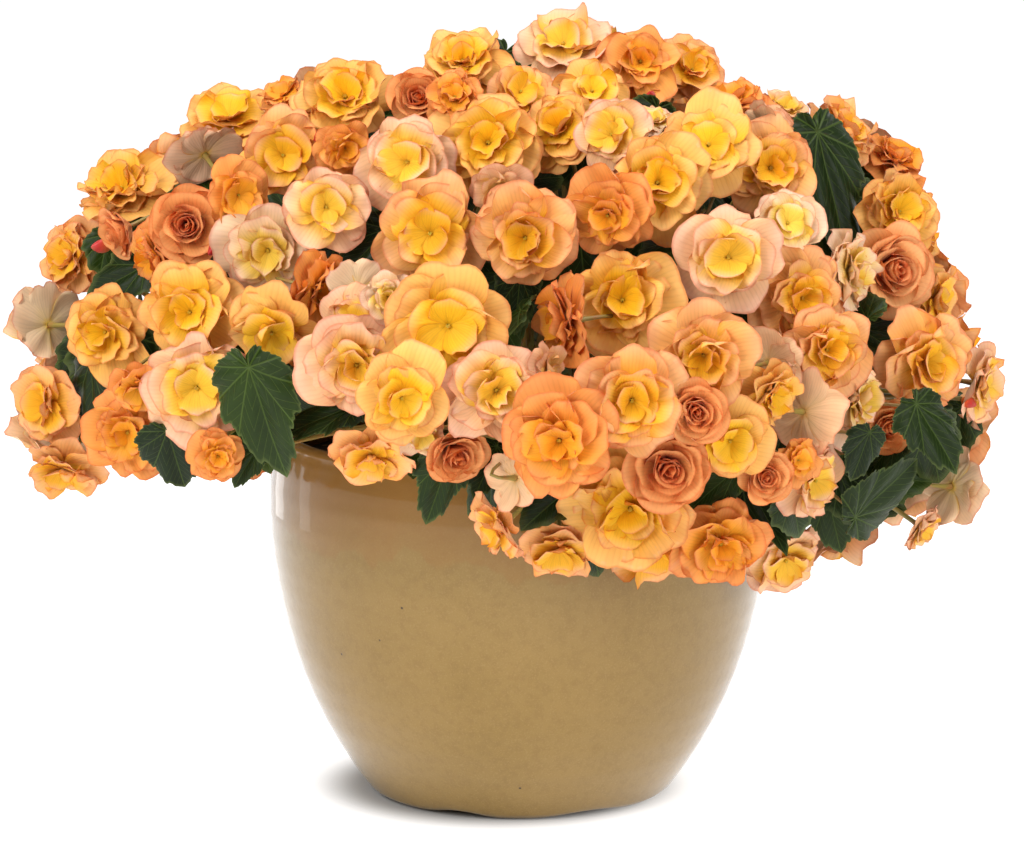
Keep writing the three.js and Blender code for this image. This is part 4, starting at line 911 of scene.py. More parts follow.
def shade_places(n, start, way, depths):
    """Places behind a gap, at several depths, with the blade roughly across the ray."""
    shallow, deep = depths
    short, long = SHADE["size"]
    for k in range(SHADE["tries"]):
        m = n * 31 + k
        middle = start + way * (shallow + (deep - shallow) * draw(m, 41))
        sway = chance_vector(m, 42, 43, 44)
        length = short + (long - short) * draw(m, 45)
        yield leaf_at(middle, unit(sway * 1.1 - way), UP * -0.6 - way + sway * 2.4, length, length * 0.84)


def fill_gaps(starts, ways, most, depths, first, spare=SHADE["spare"]):
    """Take the ray with the widest gap, put a leaf behind it, count it as covered, and go on until no gap is
    wide or the most leaves allowed are found."""
    widths, found = gap_widths(starts, ways), 0
    for n in range(first, first + 4 * most):
        i = int(np.argmax(widths))
        if found == most or widths[i] < SHADE["narrowest"]:
            break
        found += place(in_shade(shade_places(n, starts[i], ways[i], DEPTHS[depths]), spare), SHADE["least"])
        widths = np.minimum(widths, np.linalg.norm(starts - starts[i], axis=1) / SHADE["covers"])
    return found


# Leaves that show between the blooms, most of them low on the right: x, y in the photo, and length in mm.
# Their blades may touch a bloom, by no more than so many mm.
SHOWING = [(893, 500, 94), (936, 456, 70), (852, 500, 66), (838, 528, 56), (905, 478, 60), (118, 264, 44),
           (300, 405, 66), (262, 440, 60), (228, 442, 50), (560, 270, 60), (798, 520, 46), (880, 457, 50),
           (777, 447, 36), (640, 250, 50)]
SHOWING_TRIES, TOUCH = 50, -6
SHOWING_DRAWS = dict(first=9000, for_each=53)


def showing_places(n, x, y, length):
    """Places close behind the outer blooms on one line of sight, blade to the eye and tip down."""
    for k in range(SHOWING_TRIES):
        m = SHOWING_DRAWS["first"] + SHOWING_DRAWS["for_each"] * n + k
        middle = on_dome(x, y) + sight_line(x, y) * (8 + 60 * draw(m, 41))
        sway = chance_vector(m, 42, 43, 44)
        size = length * (1 - 0.4 * k / SHOWING_TRIES)
        yield leaf_at(middle, unit(sway - sight_line(x, y)), sway * 1.6 - UP, size, size * 0.9)


for n, spot in enumerate(SHOWING):
    place(in_shade(showing_places(n, *spot)), TOUCH)
print("leaves that show:", sum(leaf.shade for s in stems for leaf in s.leaves), "of", len(SHOWING))

# %% Fill the gaps
across, down = np.meshgrid(np.arange(10, 1010, SHADE["step"]), np.arange(20, 560, SHADE["step"]))
sights = [(x, y) for x, y in zip(across.ravel(), down.ravel()) if inside_outline(on_dome(x, y), 12)]
sight_starts = np.array([on_dome(x, y) for x, y in sights])
sight_ways = np.array([sight_line(x, y) for x, y in sights])
all_round = [(d, dome_along(d)) for d in spread(SHADE["all_round"], -0.3)]
round_starts = np.array([p for d, p in all_round if d @ away > -0.5])
round_ways = -np.array([dome_normal(p) for p in round_starts])
found = [
    fill_gaps(sight_starts, sight_ways, 70, "shallow", 0),
    fill_gaps(round_starts, round_ways, 50, "shallow", 500),
    fill_gaps(sight_starts, sight_ways, 40, "deep", 1000),
]
for n, side in enumerate(SIDES):
    starts = np.array([p for d, p in all_round if d @ side > 0.1])
    ways = np.tile(-unit(side), (len(starts), 1))
    found.append(fill_gaps(starts, ways, 20, "wide", 1500 + 400 * n, SHADE["side_spare"]))
print("shade leaves in the gaps:", found)

# %% [markdown]
# ## From arrays to meshes
# Every surface is worked out as a grid of points with numpy. A part holds its points, its faces, a flat map
# (UV) and a tint for each point, and the number of its finish. Parts that grow together become one piece.

# %% Mesh helpers
SHARP = 100


def grid_faces(index, closed=False):
    """The quads of a grid of point numbers, rows by columns; a closed grid joins its last column to its
    first."""
    if closed:
        index = np.concatenate([index, index[..., :1]], -1)
    quads = [index[..., :-1, :-1], index[..., :-1, 1:], index[..., 1:, 1:], index[..., 1:, :-1]]
    return np.stack(quads, -1).reshape(-1, 4)


def part(points, faces, uv, tint, finish):
    """One part of a piece; a tint for the whole part is spread over its points."""
    points = points.reshape(-1, 3)
    tint = np.broadcast_to(np.asarray(tint, float).reshape(-1, 3), (len(points), 3))
    return SimpleNamespace(points=points, faces=faces, uv=uv.reshape(-1, 2), tint=tint, finish=finish)


def make_piece(name, parts, finishes, replaced):
    """Join parts into one mesh in metres, smooth all over, that rides on the root and replaces CAD nodes."""
    starts = np.cumsum([0] + [len(p.points) for p in parts])
    loops = np.concatenate([(p.faces + s).ravel() for p, s in zip(parts, starts)])
    sizes = np.concatenate([np.full(len(p.faces), p.faces.shape[1]) for p in parts])
    finish = np.concatenate([np.full(len(p.faces), p.finish) for p in parts])
    points = np.concatenate([p.points for p in parts]) * MM
    uv = np.concatenate([p.uv for p in parts])
    tint = np.concatenate([p.tint for p in parts])
    mesh = bpy.data.meshes.new(name)
    mesh.vertices.add(len(points))
    mesh.vertices.foreach_set("co", points.astype(np.float32).ravel())
    mesh.loops.add(len(loops))
    mesh.loops.foreach_set("vertex_index", loops.astype(np.int32))
    mesh.polygons.add(len(sizes))
    mesh.polygons.foreach_set("loop_start", (np.cumsum(sizes) - sizes).astype(np.int32))
    mesh.polygons.foreach_set("material_index", finish.astype(np.int32))
    mesh.uv_layers.new(name="flat").data.foreach_set("uv", uv[loops].astype(np.float32).ravel())
    colour = np.hstack([tint, np.ones((len(tint), 1))]).astype(np.float32)
    mesh.attributes.new("tint", "FLOAT_COLOR", "POINT").data.foreach_set("color", colour.ravel())
    mesh.update(calc_edges=True)
    mesh.validate()
    mesh.shade_smooth()
    mesh.set_sharp_from_angle(angle=math.radians(SHARP))
    piece = add_object(name, mesh)
    for material in finishes:
        mesh.materials.append(material)
    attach(piece, "root")
    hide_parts(*replaced)
    return piece


def linear(colour):
    """A screen colour as light: (c/255)^2.2 for each channel."""
    return (np.array(colour) / 255) ** 2.2


def smooth(x, low, high):
    """0 under low, 1 over high, and an even S between: 3x^2 - 2x^3."""
    x = np.clip((x - low) / (high - low), 0, 1)
    return x * x * (3 - 2 * x)


def blend(a, b, share):
    """A mix of two tints by a share for each point."""
    share = np.asarray(share)[..., None]
    return a * (1 - share) + b * share


# %% [markdown]
# ## Petals
# A begonia petal is a broad, thin dish with a narrow foot. It leaves the bloom at one angle and ends at
# another, its sides cup upwards, and its rim is frilled. Each petal is a shell: a front sheet and a back
# sheet that meet in one rim, so that it is closed and thin at its edge like the real one.

# %% Petal shells
PETAL = dict(thickness=0.6, foot=0.16, half_turn=1.45, flat=0.54, open_by=0.74, pleats=0.018, crease=0.2)


def shell_faces(count, rows, columns):
    """The faces of many shells: the back sheet shares the rim points of the front sheet and has its own
    points inside the rim, which are numbered after all the points of the front sheets."""
    front = np.arange(count * rows * columns).reshape(count, rows, columns)
    back = front.copy()
    inner = (rows - 2) * (columns - 2)
    back[:, 1:-1, 1:-1] = front.size + np.arange(count * inner).reshape(count, rows - 2, columns - 2)
    return np.concatenate([grid_faces(front)[:, ::-1], grid_faces(back)])


def sheet_normals(points):
    """Unit vectors square to a grid of points: the cross product of its two slopes."""
    along_rows, along_columns = np.gradient(points, axis=(1, 2))
    normal = np.cross(along_rows, along_columns)
    return normal / np.maximum(np.linalg.norm(normal, axis=-1, keepdims=True), 1e-9)


def shells(points, thickness, uv, tint, back_tint, finish):
    """Closed shells from front sheets (petals, rows, columns, xyz). The back lies under the front by the
    thickness times a dome that is 0 at the rim."""
    count, rows, columns, _ = points.shape
    row, column = np.linspace(-1, 1, rows)[:, None], np.linspace(-1, 1, columns)
    dome = np.sqrt((1 - row**4) * (1 - column**4))[..., None]
    back = points - sheet_normals(points) * thickness * dome
    inside = (slice(None), slice(1, -1), slice(1, -1))
    everything = [np.concatenate([a.reshape(-1, a.shape[-1]), b[inside].reshape(-1, a.shape[-1])])
                  for a, b in ((points, back), (uv, uv), (tint, back_tint))]
    return part(everything[0], shell_faces(count, rows, columns), everything[1], everything[2], finish)


def petal_sheets(spec, rows, columns):
    """Front sheets of many petals at once. On a petal, t runs from foot to rim and s from side to side. The
    rim is part of an ellipse: x = half sin(a), y = flat + (1 - flat) cos(a) with a = 1.45 s, cut by soft
    lobes. The width opens from the foot as a quarter wave. The middle line is an arc: its tilt changes
    evenly from foot to rim. Cup, crease, frill and pleats lift the sheet square to that arc."""
    t = np.linspace(0, 1, rows)[:, None]
    s = np.linspace(-1, 1, columns)[None]
    one = {name: v[:, None, None] for name, v in spec.items() if v.ndim == 1}
    turn = PETAL["half_turn"] * s
    lobes = 1 - one["lobe"] * (1 - np.abs(np.sin(one["lobes"] * turn + one["phase_b"])) ** 0.55)
    rim = (PETAL["flat"] + (1 - PETAL["flat"]) * np.cos(turn)) * (lobes * t**3 + 1 - t**3)
    y = t * rim
    width = PETAL["foot"] + (1 - PETAL["foot"]) * np.sin(np.minimum(t / PETAL["open_by"], 1) * np.pi / 2)
    x = one["half"] * np.sin(turn) * width
    start = one["foot_tilt"]
    bend = one["rim_tilt"] - start + 1e-4
    tilt_here = start + bend * y
    out = one["length"] * (np.sin(tilt_here) - np.sin(start)) / bend
    up = one["length"] * (np.cos(start) - np.cos(tilt_here)) / bend
    frill = np.sin(one["waves"] * turn * 2 + one["phase_a"]) * (0.3 + 0.7 * np.abs(s))
    frill = frill + 0.55 * np.sin(one["waves"] * 4.7 * turn + one["phase_b"]) * t**2
    pleats = PETAL["pleats"] * np.cos(one["waves"] * 5 * turn + one["phase_b"]) * np.sin(np.pi * t)
    lift = one["cup"] * s**2 * (0.25 + 0.75 * t) * one["half"] + one["frill"] * one["length"] * frill * t**1.8
    crease = one["crease"] * np.exp(-((s / PETAL["crease"]) ** 2)) * t * (1 - t)
    lift = lift + one["length"] * (crease + pleats)
    angle = one["twist"] * t
    x, lift = x * np.cos(angle) - lift * np.sin(angle), x * np.sin(angle) + lift * np.cos(angle)
    outward, axis, side, base = (spec[name][:, None, None] for name in ("out", "axis", "side", "base"))
    square = np.cos(tilt_here)[..., None] * axis - np.sin(tilt_here)[..., None] * outward
    place = base + out[..., None] * outward + up[..., None] * axis
    return place + x[..., None] * side + lift[..., None] * square, y + 0 * x, s + 0 * x


# %% [markdown]
# ## Tints of the petals
# Colour on a petal runs from a yellow heart through apricot to a pale, pinkish rim, and the back is tan. A
# tint is four screen colours: heart, middle, rim and back.

# %% Tints
TINTS = {
    "gold": [(255, 200, 30), (255, 190, 70), (252, 198, 124), (246, 200, 140)],
    "apricot": [(255, 194, 34), (253, 181, 76), (250, 190, 140), (244, 194, 142)],
    "orange": [(255, 178, 42), (249, 163, 62), (247, 166, 100), (242, 172, 108)],
    "peach": [(255, 204, 52), (253, 198, 130), (249, 200, 174), (244, 208, 174)],
    "cream": [(254, 216, 74), (255, 224, 168), (252, 214, 190), (240, 212, 172)],
    "dusky": [(242, 190, 96), (241, 184, 130), (243, 190, 156), (238, 200, 152)],
    "rose": [(255, 146, 88), (254, 186, 108), (252, 198, 136), (244, 178, 116)],
    "flame": [(250, 134, 74), (252, 170, 90), (251, 184, 116), (240, 152, 92)],
}
TINTS = {name: [linear(c) for c in colours] for name, colours in TINTS.items()}
PALE_TINTS = ("peach", "cream", "dusky")

# Rings of petals from the outside in. Each: petals, length and half width in radii of the bloom, the angles
# at the foot and the rim in degrees, how far out and up the foot stands in radii, cup, frill, and how much
# of the petal the heart's colour covers.
OPEN_RINGS = [
    (5, 1.03, 0.57, 12, -14, 0.05, -0.12, 0.07, 0.070, 0.20),
    (5, 0.90, 0.49, 22, -4, 0.04, -0.06, 0.12, 0.080, 0.52),
    (4, 0.73, 0.44, 36, 4, 0.03, -0.03, 0.20, 0.085, 0.84),
    (3, 0.55, 0.36, 56, 14, 0.02, -0.01, 0.32, 0.090, 1.00),
]
FULL_RINGS = [
    (5, 1.04, 0.55, 8, -16, 0.05, -0.14, 0.07, 0.070, 0.14),
    (5, 0.97, 0.47, 18, -5, 0.05, -0.09, 0.12, 0.080, 0.32),
    (6, 0.84, 0.40, 31, 6, 0.04, -0.05, 0.18, 0.090, 0.56),
    (5, 0.70, 0.35, 46, 18, 0.04, -0.02, 0.26, 0.100, 0.82),
    (4, 0.54, 0.30, 64, 34, 0.03, 0.00, 0.40, 0.105, 1.00),
]
ROSE_RINGS = [
    (5, 1.30, 0.74, 62, 2, 0.16, -0.60, 0.34, 0.035, 0.12),
    (5, 1.18, 0.64, 70, 26, 0.16, -0.52, 0.44, 0.035, 0.20),
    (4, 1.05, 0.52, 78, 48, 0.14, -0.44, 0.60, 0.030, 0.45),
    (4, 0.95, 0.40, 84, 66, 0.12, -0.38, 0.80, 0.025, 0.75),
    (3, 0.86, 0.28, 88, 78, 0.09, -0.34, 0.95, 0.020, 0.95),
    (3, 0.80, 0.18, 90, 84, 0.04, -0.30, 1.00, 0.020, 1.00),
]
RINGS = {"o": OPEN_RINGS, "f": FULL_RINGS, "r": ROSE_RINGS}


# %% Blooms
# How much the petals of a ring differ by chance: the usual difference of each measure. Rosebuds are calmer.
CHANCE = dict(turn=0.16, size=0.11, half=0.08, foot_tilt=7, rim_tilt=13, cup=0.12, frill=0.5, crease=0.07,
              waves=0.28, twist=0.22, lobe=0.06, lobes=0.6, heart=0.12, light=0.05)
ROSE_CALM = 0.5
RING_TURN = 2.4


def ring_spec(bloom, ring, level):
    """The petals of one ring: turned round the bloom with chance differences in size and tilt, the inner
    rings leaning more and more to one side."""
    count, length, half, foot_tilt, rim_tilt, foot_out, foot_up, cup, frill, heart = ring
    rng = np.random.default_rng([bloom.n, level])
    vary = lambda what: rng.normal(0, CHANCE[what], count)
    calm = ROSE_CALM if bloom.form == "r" else 1
    turns = even_turns(count, bloom.turn + level * RING_TURN) + calm * vary("turn")
    out = circle(turns, *bloom_pair(bloom))
    lean = calm * (0.06 + 0.05 * level) * np.cos(turns - bloom.lean)
    size = bloom.radius * (1 + calm * vary("size"))
    return dict(
        out=out, axis=np.tile(bloom.facing, (count, 1)), side=np.cross(bloom.facing, out),
        base=bloom.middle + bloom.radius * (out * foot_out + bloom.facing * foot_up),
        length=length * size, half=half * size * (1 + vary("half")),
        foot_tilt=np.radians(foot_tilt + calm * vary("foot_tilt")) + lean,
        rim_tilt=np.radians(rim_tilt + calm * vary("rim_tilt")) + lean,
        cup=cup + calm * vary("cup"), frill=frill * (1.1 + np.abs(vary("frill"))),
        crease=-0.17 + vary("crease"), waves=1.2 + vary("waves"), twist=calm * vary("twist"),
        lobe=calm * (0.06 + np.abs(vary("lobe"))), lobes=1.4 + np.abs(vary("lobes")),
        phase_a=rng.uniform(0, TURN, count), phase_b=rng.uniform(0, TURN, count),
        heart=heart * (1 + vary("heart")), light=1 + vary("light"), level=np.full(count, level / 6),
    )


def petal_tints(spec, tint, y, s):
    """Front and back tints: the heart's colour fades out over its share of the petal, and the rim's comes in
    over the last quarter and along the sides. Outer rings lie nearer to the rim's colour."""
    heart, middle, rim, back = TINTS[tint]
    share = np.clip(spec["heart"], 0, 1)[:, None, None]
    warm = 1 - smooth(y, 0.04 + 0.55 * share, 0.30 + 0.75 * share)
    edge = smooth(np.maximum(y, 0.9 * np.abs(s) ** 3 * smooth(y, 0.2, 0.5)), 0.62, 1.0)
    outer = 1 - spec["level"][:, None, None]
    body = blend(middle, rim, 0.45 * outer + 0 * y)
    body = blend(body, heart, 0.35 * share + 0 * y)
    front = blend(blend(body, rim, 0.75 * edge), heart, 0.92 * warm) * spec["light"][:, None, None, None]
    return front, blend(back, front, 0.25 + 0 * y)


LONG_PETAL = 0.55
STAMEN_YELLOW = linear((206, 178, 62))


def stamens(bloom):
    """A knot of short clubs, one in the middle of a ring: each a tube that swells to its tip."""
    clubs, sides = 7, 5
    out = np.full(clubs, 0.025 * bloom.radius)
    out[-1] = 0
    pair = bloom_pair(bloom)
    root = bloom.middle + out[:, None] * circle(even_turns(clubs, bloom.turn), *pair)
    height = bloom.radius * np.array([-0.05, 0.01, 0.05, 0.08, 0.09])
    girth = bloom.radius * np.array([0, 0.008, 0.016, 0.014, 0])
    points = (root[:, None, None] + height[None, :, None, None] * bloom.facing
              + girth[None, :, None, None] * circle(even_turns(sides), *pair)[None, None])
    index = np.arange(clubs * len(height) * sides).reshape(clubs, len(height), sides)
    return part(points, grid_faces(index, closed=True), np.zeros((index.size, 2)), STAMEN_YELLOW, 1)


def bloom_parts(bloom):
    """The petals of a bloom, long ones on a finer grid, and a knot of stamens in all but the rosebuds."""
    bloom.turn = 2 * math.pi * draw(bloom.n, 6)
    bloom.lean = 2 * math.pi * draw(bloom.n, 31)
    parts = []
    finish = 2 if bloom.tint in PALE_TINTS else 0
    for level, ring in enumerate(RINGS[bloom.form]):
        spec = ring_spec(bloom, ring, level)
        rows, columns = (8, 13) if ring[1] > LONG_PETAL else (7, 9)
        sheets, y, s = petal_sheets(spec, rows, columns)
        front, back = petal_tints(spec, bloom.tint, y, s)
        uv = np.stack([0.5 + 0.5 * s, np.linspace(0, 1, rows)[:, None] + 0 * s], -1)
        parts.append(shells(sheets, PETAL["thickness"], uv, front, back, finish))
    return parts + [stamens(bloom)] * (bloom.form != "r")


# %% [markdown]
# ## Stalks
# A flower stalk is a soft tube that bends smoothly from the fork to the neck. A curve through all the
# points of its route gives the middle line, and rings of points are set square to it.

# %% Stalks and buds
SPAN_STEPS = 6


def smooth_route(points, radii):
    """A curve through the points: each span is a cubic that leaves a point along the mean of the directions
    of the spans before and after it, the shorter span counting more. The radii change evenly."""
    span = np.diff(points, axis=0)
    size = np.linalg.norm(span, axis=1, keepdims=True)
    way = span / size
    mean = (way[:-1] * size[1:] + way[1:] * size[:-1]) / (size[:-1] + size[1:])
    slope = np.vstack([way[:1], mean, way[-1:]])
    t = np.linspace(0, 1, SPAN_STEPS + 1)[:-1, None]
    curve = [
        (2 * t**3 - 3 * t**2 + 1) * a + (3 * t**2 - 2 * t**3) * b
        + h * ((t**3 - 2 * t**2 + t) * from_a + (t**3 - t**2) * to_b)
        for a, b, h, from_a, to_b in zip(points, points[1:], size, slope, slope[1:])
    ]
    where = np.linspace(0, len(points) - 1, SPAN_STEPS * (len(points) - 1) + 1)
    return np.vstack(curve + [points[-1:]]), np.interp(where, np.arange(len(points)), radii)


STALK_GREEN, STALK_RED = linear((120, 140, 62)), linear((178, 96, 62))


def tube(points, radii, sides, redness):
    """A closed tube along a route, green with a share of red: rings square to the curve, with a point at each
    end."""
    line, girth = smooth_route(np.array(points), np.array(radii, float))
    slope = np.gradient(line, axis=0)
    slope /= np.linalg.norm(slope, axis=1, keepdims=True)
    helper = np.eye(3)[np.argmin(np.abs(slope).max(0))]
    a = np.cross(slope, helper)
    a /= np.linalg.norm(a, axis=1, keepdims=True)
    b = np.cross(slope, a)
    turns = even_turns(sides)[None, :, None]
    girth = np.concatenate([[0], girth, [0]])[:, None, None]
    line, a, b = (np.vstack([v[:1], v, v[-1:]]) for v in (line, a, b))
    rings = line[:, None] + girth * (np.cos(turns) * a[:, None] + np.sin(turns) * b[:, None])
    index = np.arange(rings.shape[0] * sides).reshape(-1, sides)
    u, v = np.meshgrid(np.arange(sides) / sides, np.linspace(0, 1, rings.shape[0]))
    return part(rings, grid_faces(index, closed=True), np.stack([u, v], -1),
                blend(STALK_GREEN, STALK_RED, redness), 1)


def flower_stalk(flower):
    """The stalk of one flower along its route; under a bloom it goes on to where the petals start."""
    points, radii = zip(*flower.route)
    if not hasattr(flower, "length"):
        into = flower.radius * REACH[flower.form]["neck"] * 0.35
        points, radii = (*points, flower.middle - flower.facing * into), (*radii, radii[-1] * 1.4)
    return tube(points, radii, 8, 0.35)


def bud_part(bud):
    """A bud of two closed petals: a flattened drop, r = sin(pi t^0.85)^0.75, with a ridge on each side."""
    rows, sides = 14, 16
    t = np.linspace(0, 1, rows)[:, None]
    turns = even_turns(sides)[None]
    girth = bud.length * 0.36 * np.sin(np.pi * t**0.85) ** 0.75 * (1 + 0.07 * np.cos(2 * turns) ** 8) + 0.01
    a, b = cross_pair(bud.facing, 1.0)
    points = (bud.middle + bud.facing * ((t - 0.45) * bud.length * 1.1)[..., None]
              + (girth * np.cos(turns))[..., None] * a + (0.72 * girth * np.sin(turns))[..., None] * b)
    index = np.arange(rows * sides).reshape(rows, sides)
    redness = np.broadcast_to(smooth(t, 0.1, 0.8), (rows, sides))
    tint = blend(linear((232, 120, 60)), linear((196, 48, 44)), redness)
    uv = np.stack(np.broadcast_arrays(turns / (2 * np.pi), t), -1)
    return part(points, grid_faces(index, closed=True), uv, tint, 1)


# %% [markdown]
# ## Leaves
# A begonia leaf is lopsided, with a heart-shaped foot, a pointed tip and a toothed rim. Its veins spread from
# the foot, and the blade swells between them. Angles run round the foot and shares run from the foot to the
# rim, so that the veins are straight lines of this grid.

# %% Leaf blades
RIM_ANGLES = np.radians([0, 10, 20, 33, 53, 64, 84, 114, 145, 168, 180])
RIM_REACH = np.array([1.02, 0.88, 0.75, 0.62, 0.60, 0.50, 0.47, 0.27, 0.20, 0.11, 0.05])
VEIN_ANGLES = np.radians([0, 33, 62, 95, 132])
TEETH = dict(coarse=3.7, coarse_depth=0.12, fine=11.1, fine_depth=0.06)
RELIEF = dict(swell=0.020, wave=0.035, ripple=0.02, fold_width=0.12, lift=0.4, thickness=1.0)
FINE_GRID = dict(shares=(0, 0.12, 0.28, 0.44, 0.6, 0.74, 0.86, 0.94, 1.0), columns=151)
SHADE_GRID = dict(shares=(0, 0.3, 0.6, 0.85, 1.0), columns=61)


def leaf_rim(angle):
    """The reach of the rim at each angle: a curve through the lobes, with coarse teeth that lean to the tip
    and fine teeth on them."""
    size = np.abs(angle)
    coarse = 1 - (size * TEETH["coarse"] + 0.1) % 1
    fine = 1 - (size * TEETH["fine"]) % 1
    taper = smooth(size, 0.02, 0.25) * (1 - smooth(size, 2.4, 2.9))
    teeth = TEETH["coarse_depth"] * coarse - TEETH["coarse_depth"] / 2 + TEETH["fine_depth"] * fine
    return np.interp(size, RIM_ANGLES, RIM_REACH) * (1 + taper * teeth)


LEAF_DEEP, LEAF_YOUNG, LEAF_RIM = linear((25, 39, 8)), linear((50, 68, 12)), linear((120, 132, 72))
LEAF_UNDER = linear((132, 140, 98))


def leaf_part(leaf, seed, shares, columns):
    """The two faces of a leaf as one closed shell. x and y are shares of length and width; the blade drops as
    the frame's blade does, swells between veins, waves at its rim and folds at its middle vein."""
    rng = np.random.default_rng([77, seed])
    angle = np.linspace(-np.pi + 0.03, np.pi - 0.03, columns)[None]
    r = np.array(shares)[:, None]
    x = r * leaf_rim(angle) * np.cos(angle)
    half = np.where(angle < 0, LEAF_FORM["wide"], LEAF_FORM["narrow"])
    y = r * leaf_rim(angle) * np.sin(angle) * half
    between = np.min([np.abs(np.abs(angle) - v) for v in VEIN_ANGLES], 0)
    swell = RELIEF["swell"] * leaf.width * smooth(between, 0, 0.26) * np.sin(np.pi * r * 0.9)
    wave = RELIEF["wave"] * leaf.width * r**3 * np.sin(5 * angle + rng.uniform(0, TURN))
    wave = wave + RELIEF["ripple"] * leaf.width * r**5 * np.sin(13 * angle + rng.uniform(0, TURN))
    along_fold = np.exp(-((y / RELIEF["fold_width"]) ** 2)) * smooth(x, -0.05, 0.3)
    fold = -LEAF_FORM["fold"] * leaf.width * along_fold
    surface = on_blade(leaf, x, y, swell + wave + fold + RELIEF["lift"])
    uv = np.stack([0.5 + 0.5 * x, 0.5 + 0.5 * y], -1)
    tone = blend(LEAF_DEEP, LEAF_YOUNG, 0.55 * rng.random() * np.ones_like(x)) * (1 + 0.1 * rng.normal())
    tone = blend(tone, LEAF_RIM, 0.4 * smooth(r + 0 * x, 0.95, 1.0))
    under = blend(tone, LEAF_UNDER, 0.6 + 0 * x)
    return shells(surface[None], RELIEF["thickness"], uv[None], tone[None], under[None], 0)


def leaf_stalk(leaf):
    """The stalk of a leaf, from inside the stem to just inside the foot of the blade."""
    points = leaf.route[:-1] + [leaf.foot + leaf.forward * leaf.length * 0.04 - leaf.normal * 1.3]
    return tube(points, [2.0] + [1.6] * (len(points) - 2) + [1.0], 8, 0.45)


def stem_parts(stem, i):
    """The fleshy stem with swollen joints, bent a little sideways as half a wave, and the side shoots that
    carry sprays."""
    steps = np.linspace(0, 1, 9)
    bend = np.sin(steps * np.pi)[:, None] * 2.0 * np.array([math.cos(i * 2.4), math.sin(i * 2.4), 0])
    line = [stem.foot, stem.knee] + list(stem.knee + (stem.crown - stem.knee) * steps[1:, None] + bend[1:])
    joints = 1 + 0.10 * np.cos(np.arange(len(line)) * np.pi)
    girth = np.linspace(STEM["base"], STEM["tip"], len(line)) * 0.95 * joints
    parts = [tube(line, girth, 14, 0.25)]
    for s in sprays:
        if s.crown == i:
            shoot = [stem.crown - s.along, stem.crown + s.along * SHOOT["length"] * 0.5, s.start]
            parts.append(tube(shoot, [SHOOT["radius"] + 0.6] * 3, 8, 0.3))
    return parts


# %% [markdown]
# ## Materials
# A finish is a formula over the surface. It could be wired up by hand, but a small class that wraps a shader
# socket lets shader maths read like any other maths.

# %% Shader sockets
class Socket:
    """A shader socket with the operators + - * / and a few functions, each of which adds one Math node."""

    def __init__(self, nodes, socket):
        self.nodes, self.socket = nodes, socket

    def math(self, operation, *others):
        """One Math node on this socket and others."""
        return self.nodes.node("ShaderNodeMath", {"operation": operation}, [self, *others])

    def __add__(self, other):
        return self.math("ADD", other)

    def __mul__(self, other):
        return self.math("MULTIPLY", other)

    def __sub__(self, other):
        return self.math("SUBTRACT", other)

    def __rsub__(self, other):
        return self.nodes.node("ShaderNodeMath", {"operation": "SUBTRACT"}, [other, self])

    def __pow__(self, other):
        return self.math("POWER", other)

    __radd__, __rmul__ = __add__, __mul__

    def abs(self):
        return self.math("ABSOLUTE")

    def sin(self):
        return self.math("SINE")

    def between(self, low, high):
        """0 at low and 1 at high, in an even S."""
        settings = {"interpolation_type": "SMOOTHSTEP"}
        return self.nodes.node("ShaderNodeMapRange", settings, [self, low, high, 0.0, 1.0])


class Material:
    """A material and its nodes. node() adds one node from its type, its settings and its socket values."""

    def __init__(self, name):
        self.material = bpy.data.materials.new(name)
        self.material.use_nodes = True
        self.tree = self.material.node_tree
        self.shader = self.tree.nodes["Principled BSDF"]

    def node(self, kind, settings, values, output=0):
        made = self.tree.nodes.new(kind)
        for key, value in settings.items():
            setattr(made, key, value)
        pairs = values.items() if isinstance(values, dict) else enumerate(values)
        for key, value in pairs:
            self.put(made.inputs[key], value)
        return Socket(self, made.outputs[output])

    def put(self, socket, value):
        if isinstance(value, Socket):
            self.tree.links.new(value.socket, socket)
        else:
            socket.default_value = value

    def set(self, **values):
        """Set or link sockets of the Principled shader; Base_Color stands for Base Color."""
        for key, value in values.items():
            self.put(self.shader.inputs[key.replace("_", " ")], value)

    def object_place(self):
        return self.node("ShaderNodeTexCoord", {}, {}, "Object")

    def uv(self):
        """The two coordinates of the piece's own flat map."""
        flat = self.node("ShaderNodeUVMap", {"uv_map": "flat"}, {})
        return [self.node("ShaderNodeSeparateXYZ", {}, [flat], i) for i in (0, 1)]

    def tint(self):
        return self.node("ShaderNodeAttribute", {"attribute_name": "tint"}, {}, "Color")

    def noise(self, scale, detail=3.0, roughness=0.5, place=None):
        place = place or self.object_place()
        return self.node("ShaderNodeTexNoise", {}, {"Vector": place, "Scale": scale, "Detail": detail,
                                                    "Roughness": roughness}, "Fac")

    def distance(self, a, b):
        """How far apart two places are."""
        return self.node("ShaderNodeVectorMath", {"operation": "DISTANCE"}, [a, b], "Value")

    def mix(self, share, a, b, how="MIX"):
        """A mix of two colours by a share."""
        settings = {"data_type": "RGBA", "blend_type": how}
        return self.node("ShaderNodeMix", settings, {0: share, 6: a, 7: b}, 2)

    def bump(self, height, strength, distance):
        return self.node("ShaderNodeBump", {}, {"Strength": strength, "Distance": distance, "Height": height})


def rgba(colour):
    """A screen colour as the four numbers of a colour socket."""
    return (*linear(colour), 1.0)


# %% [markdown]
# ## Petal finish
# A petal is thin and lets light through, so a share of translucent light is mixed in. Fine veins run from
# foot to rim and fan out with the width, so they are waves across the petal's own flat map.

# %% Petal finish
TRANSLUCENT_SHARE = 0.22
RIM_RED = rgba((226, 132, 84))


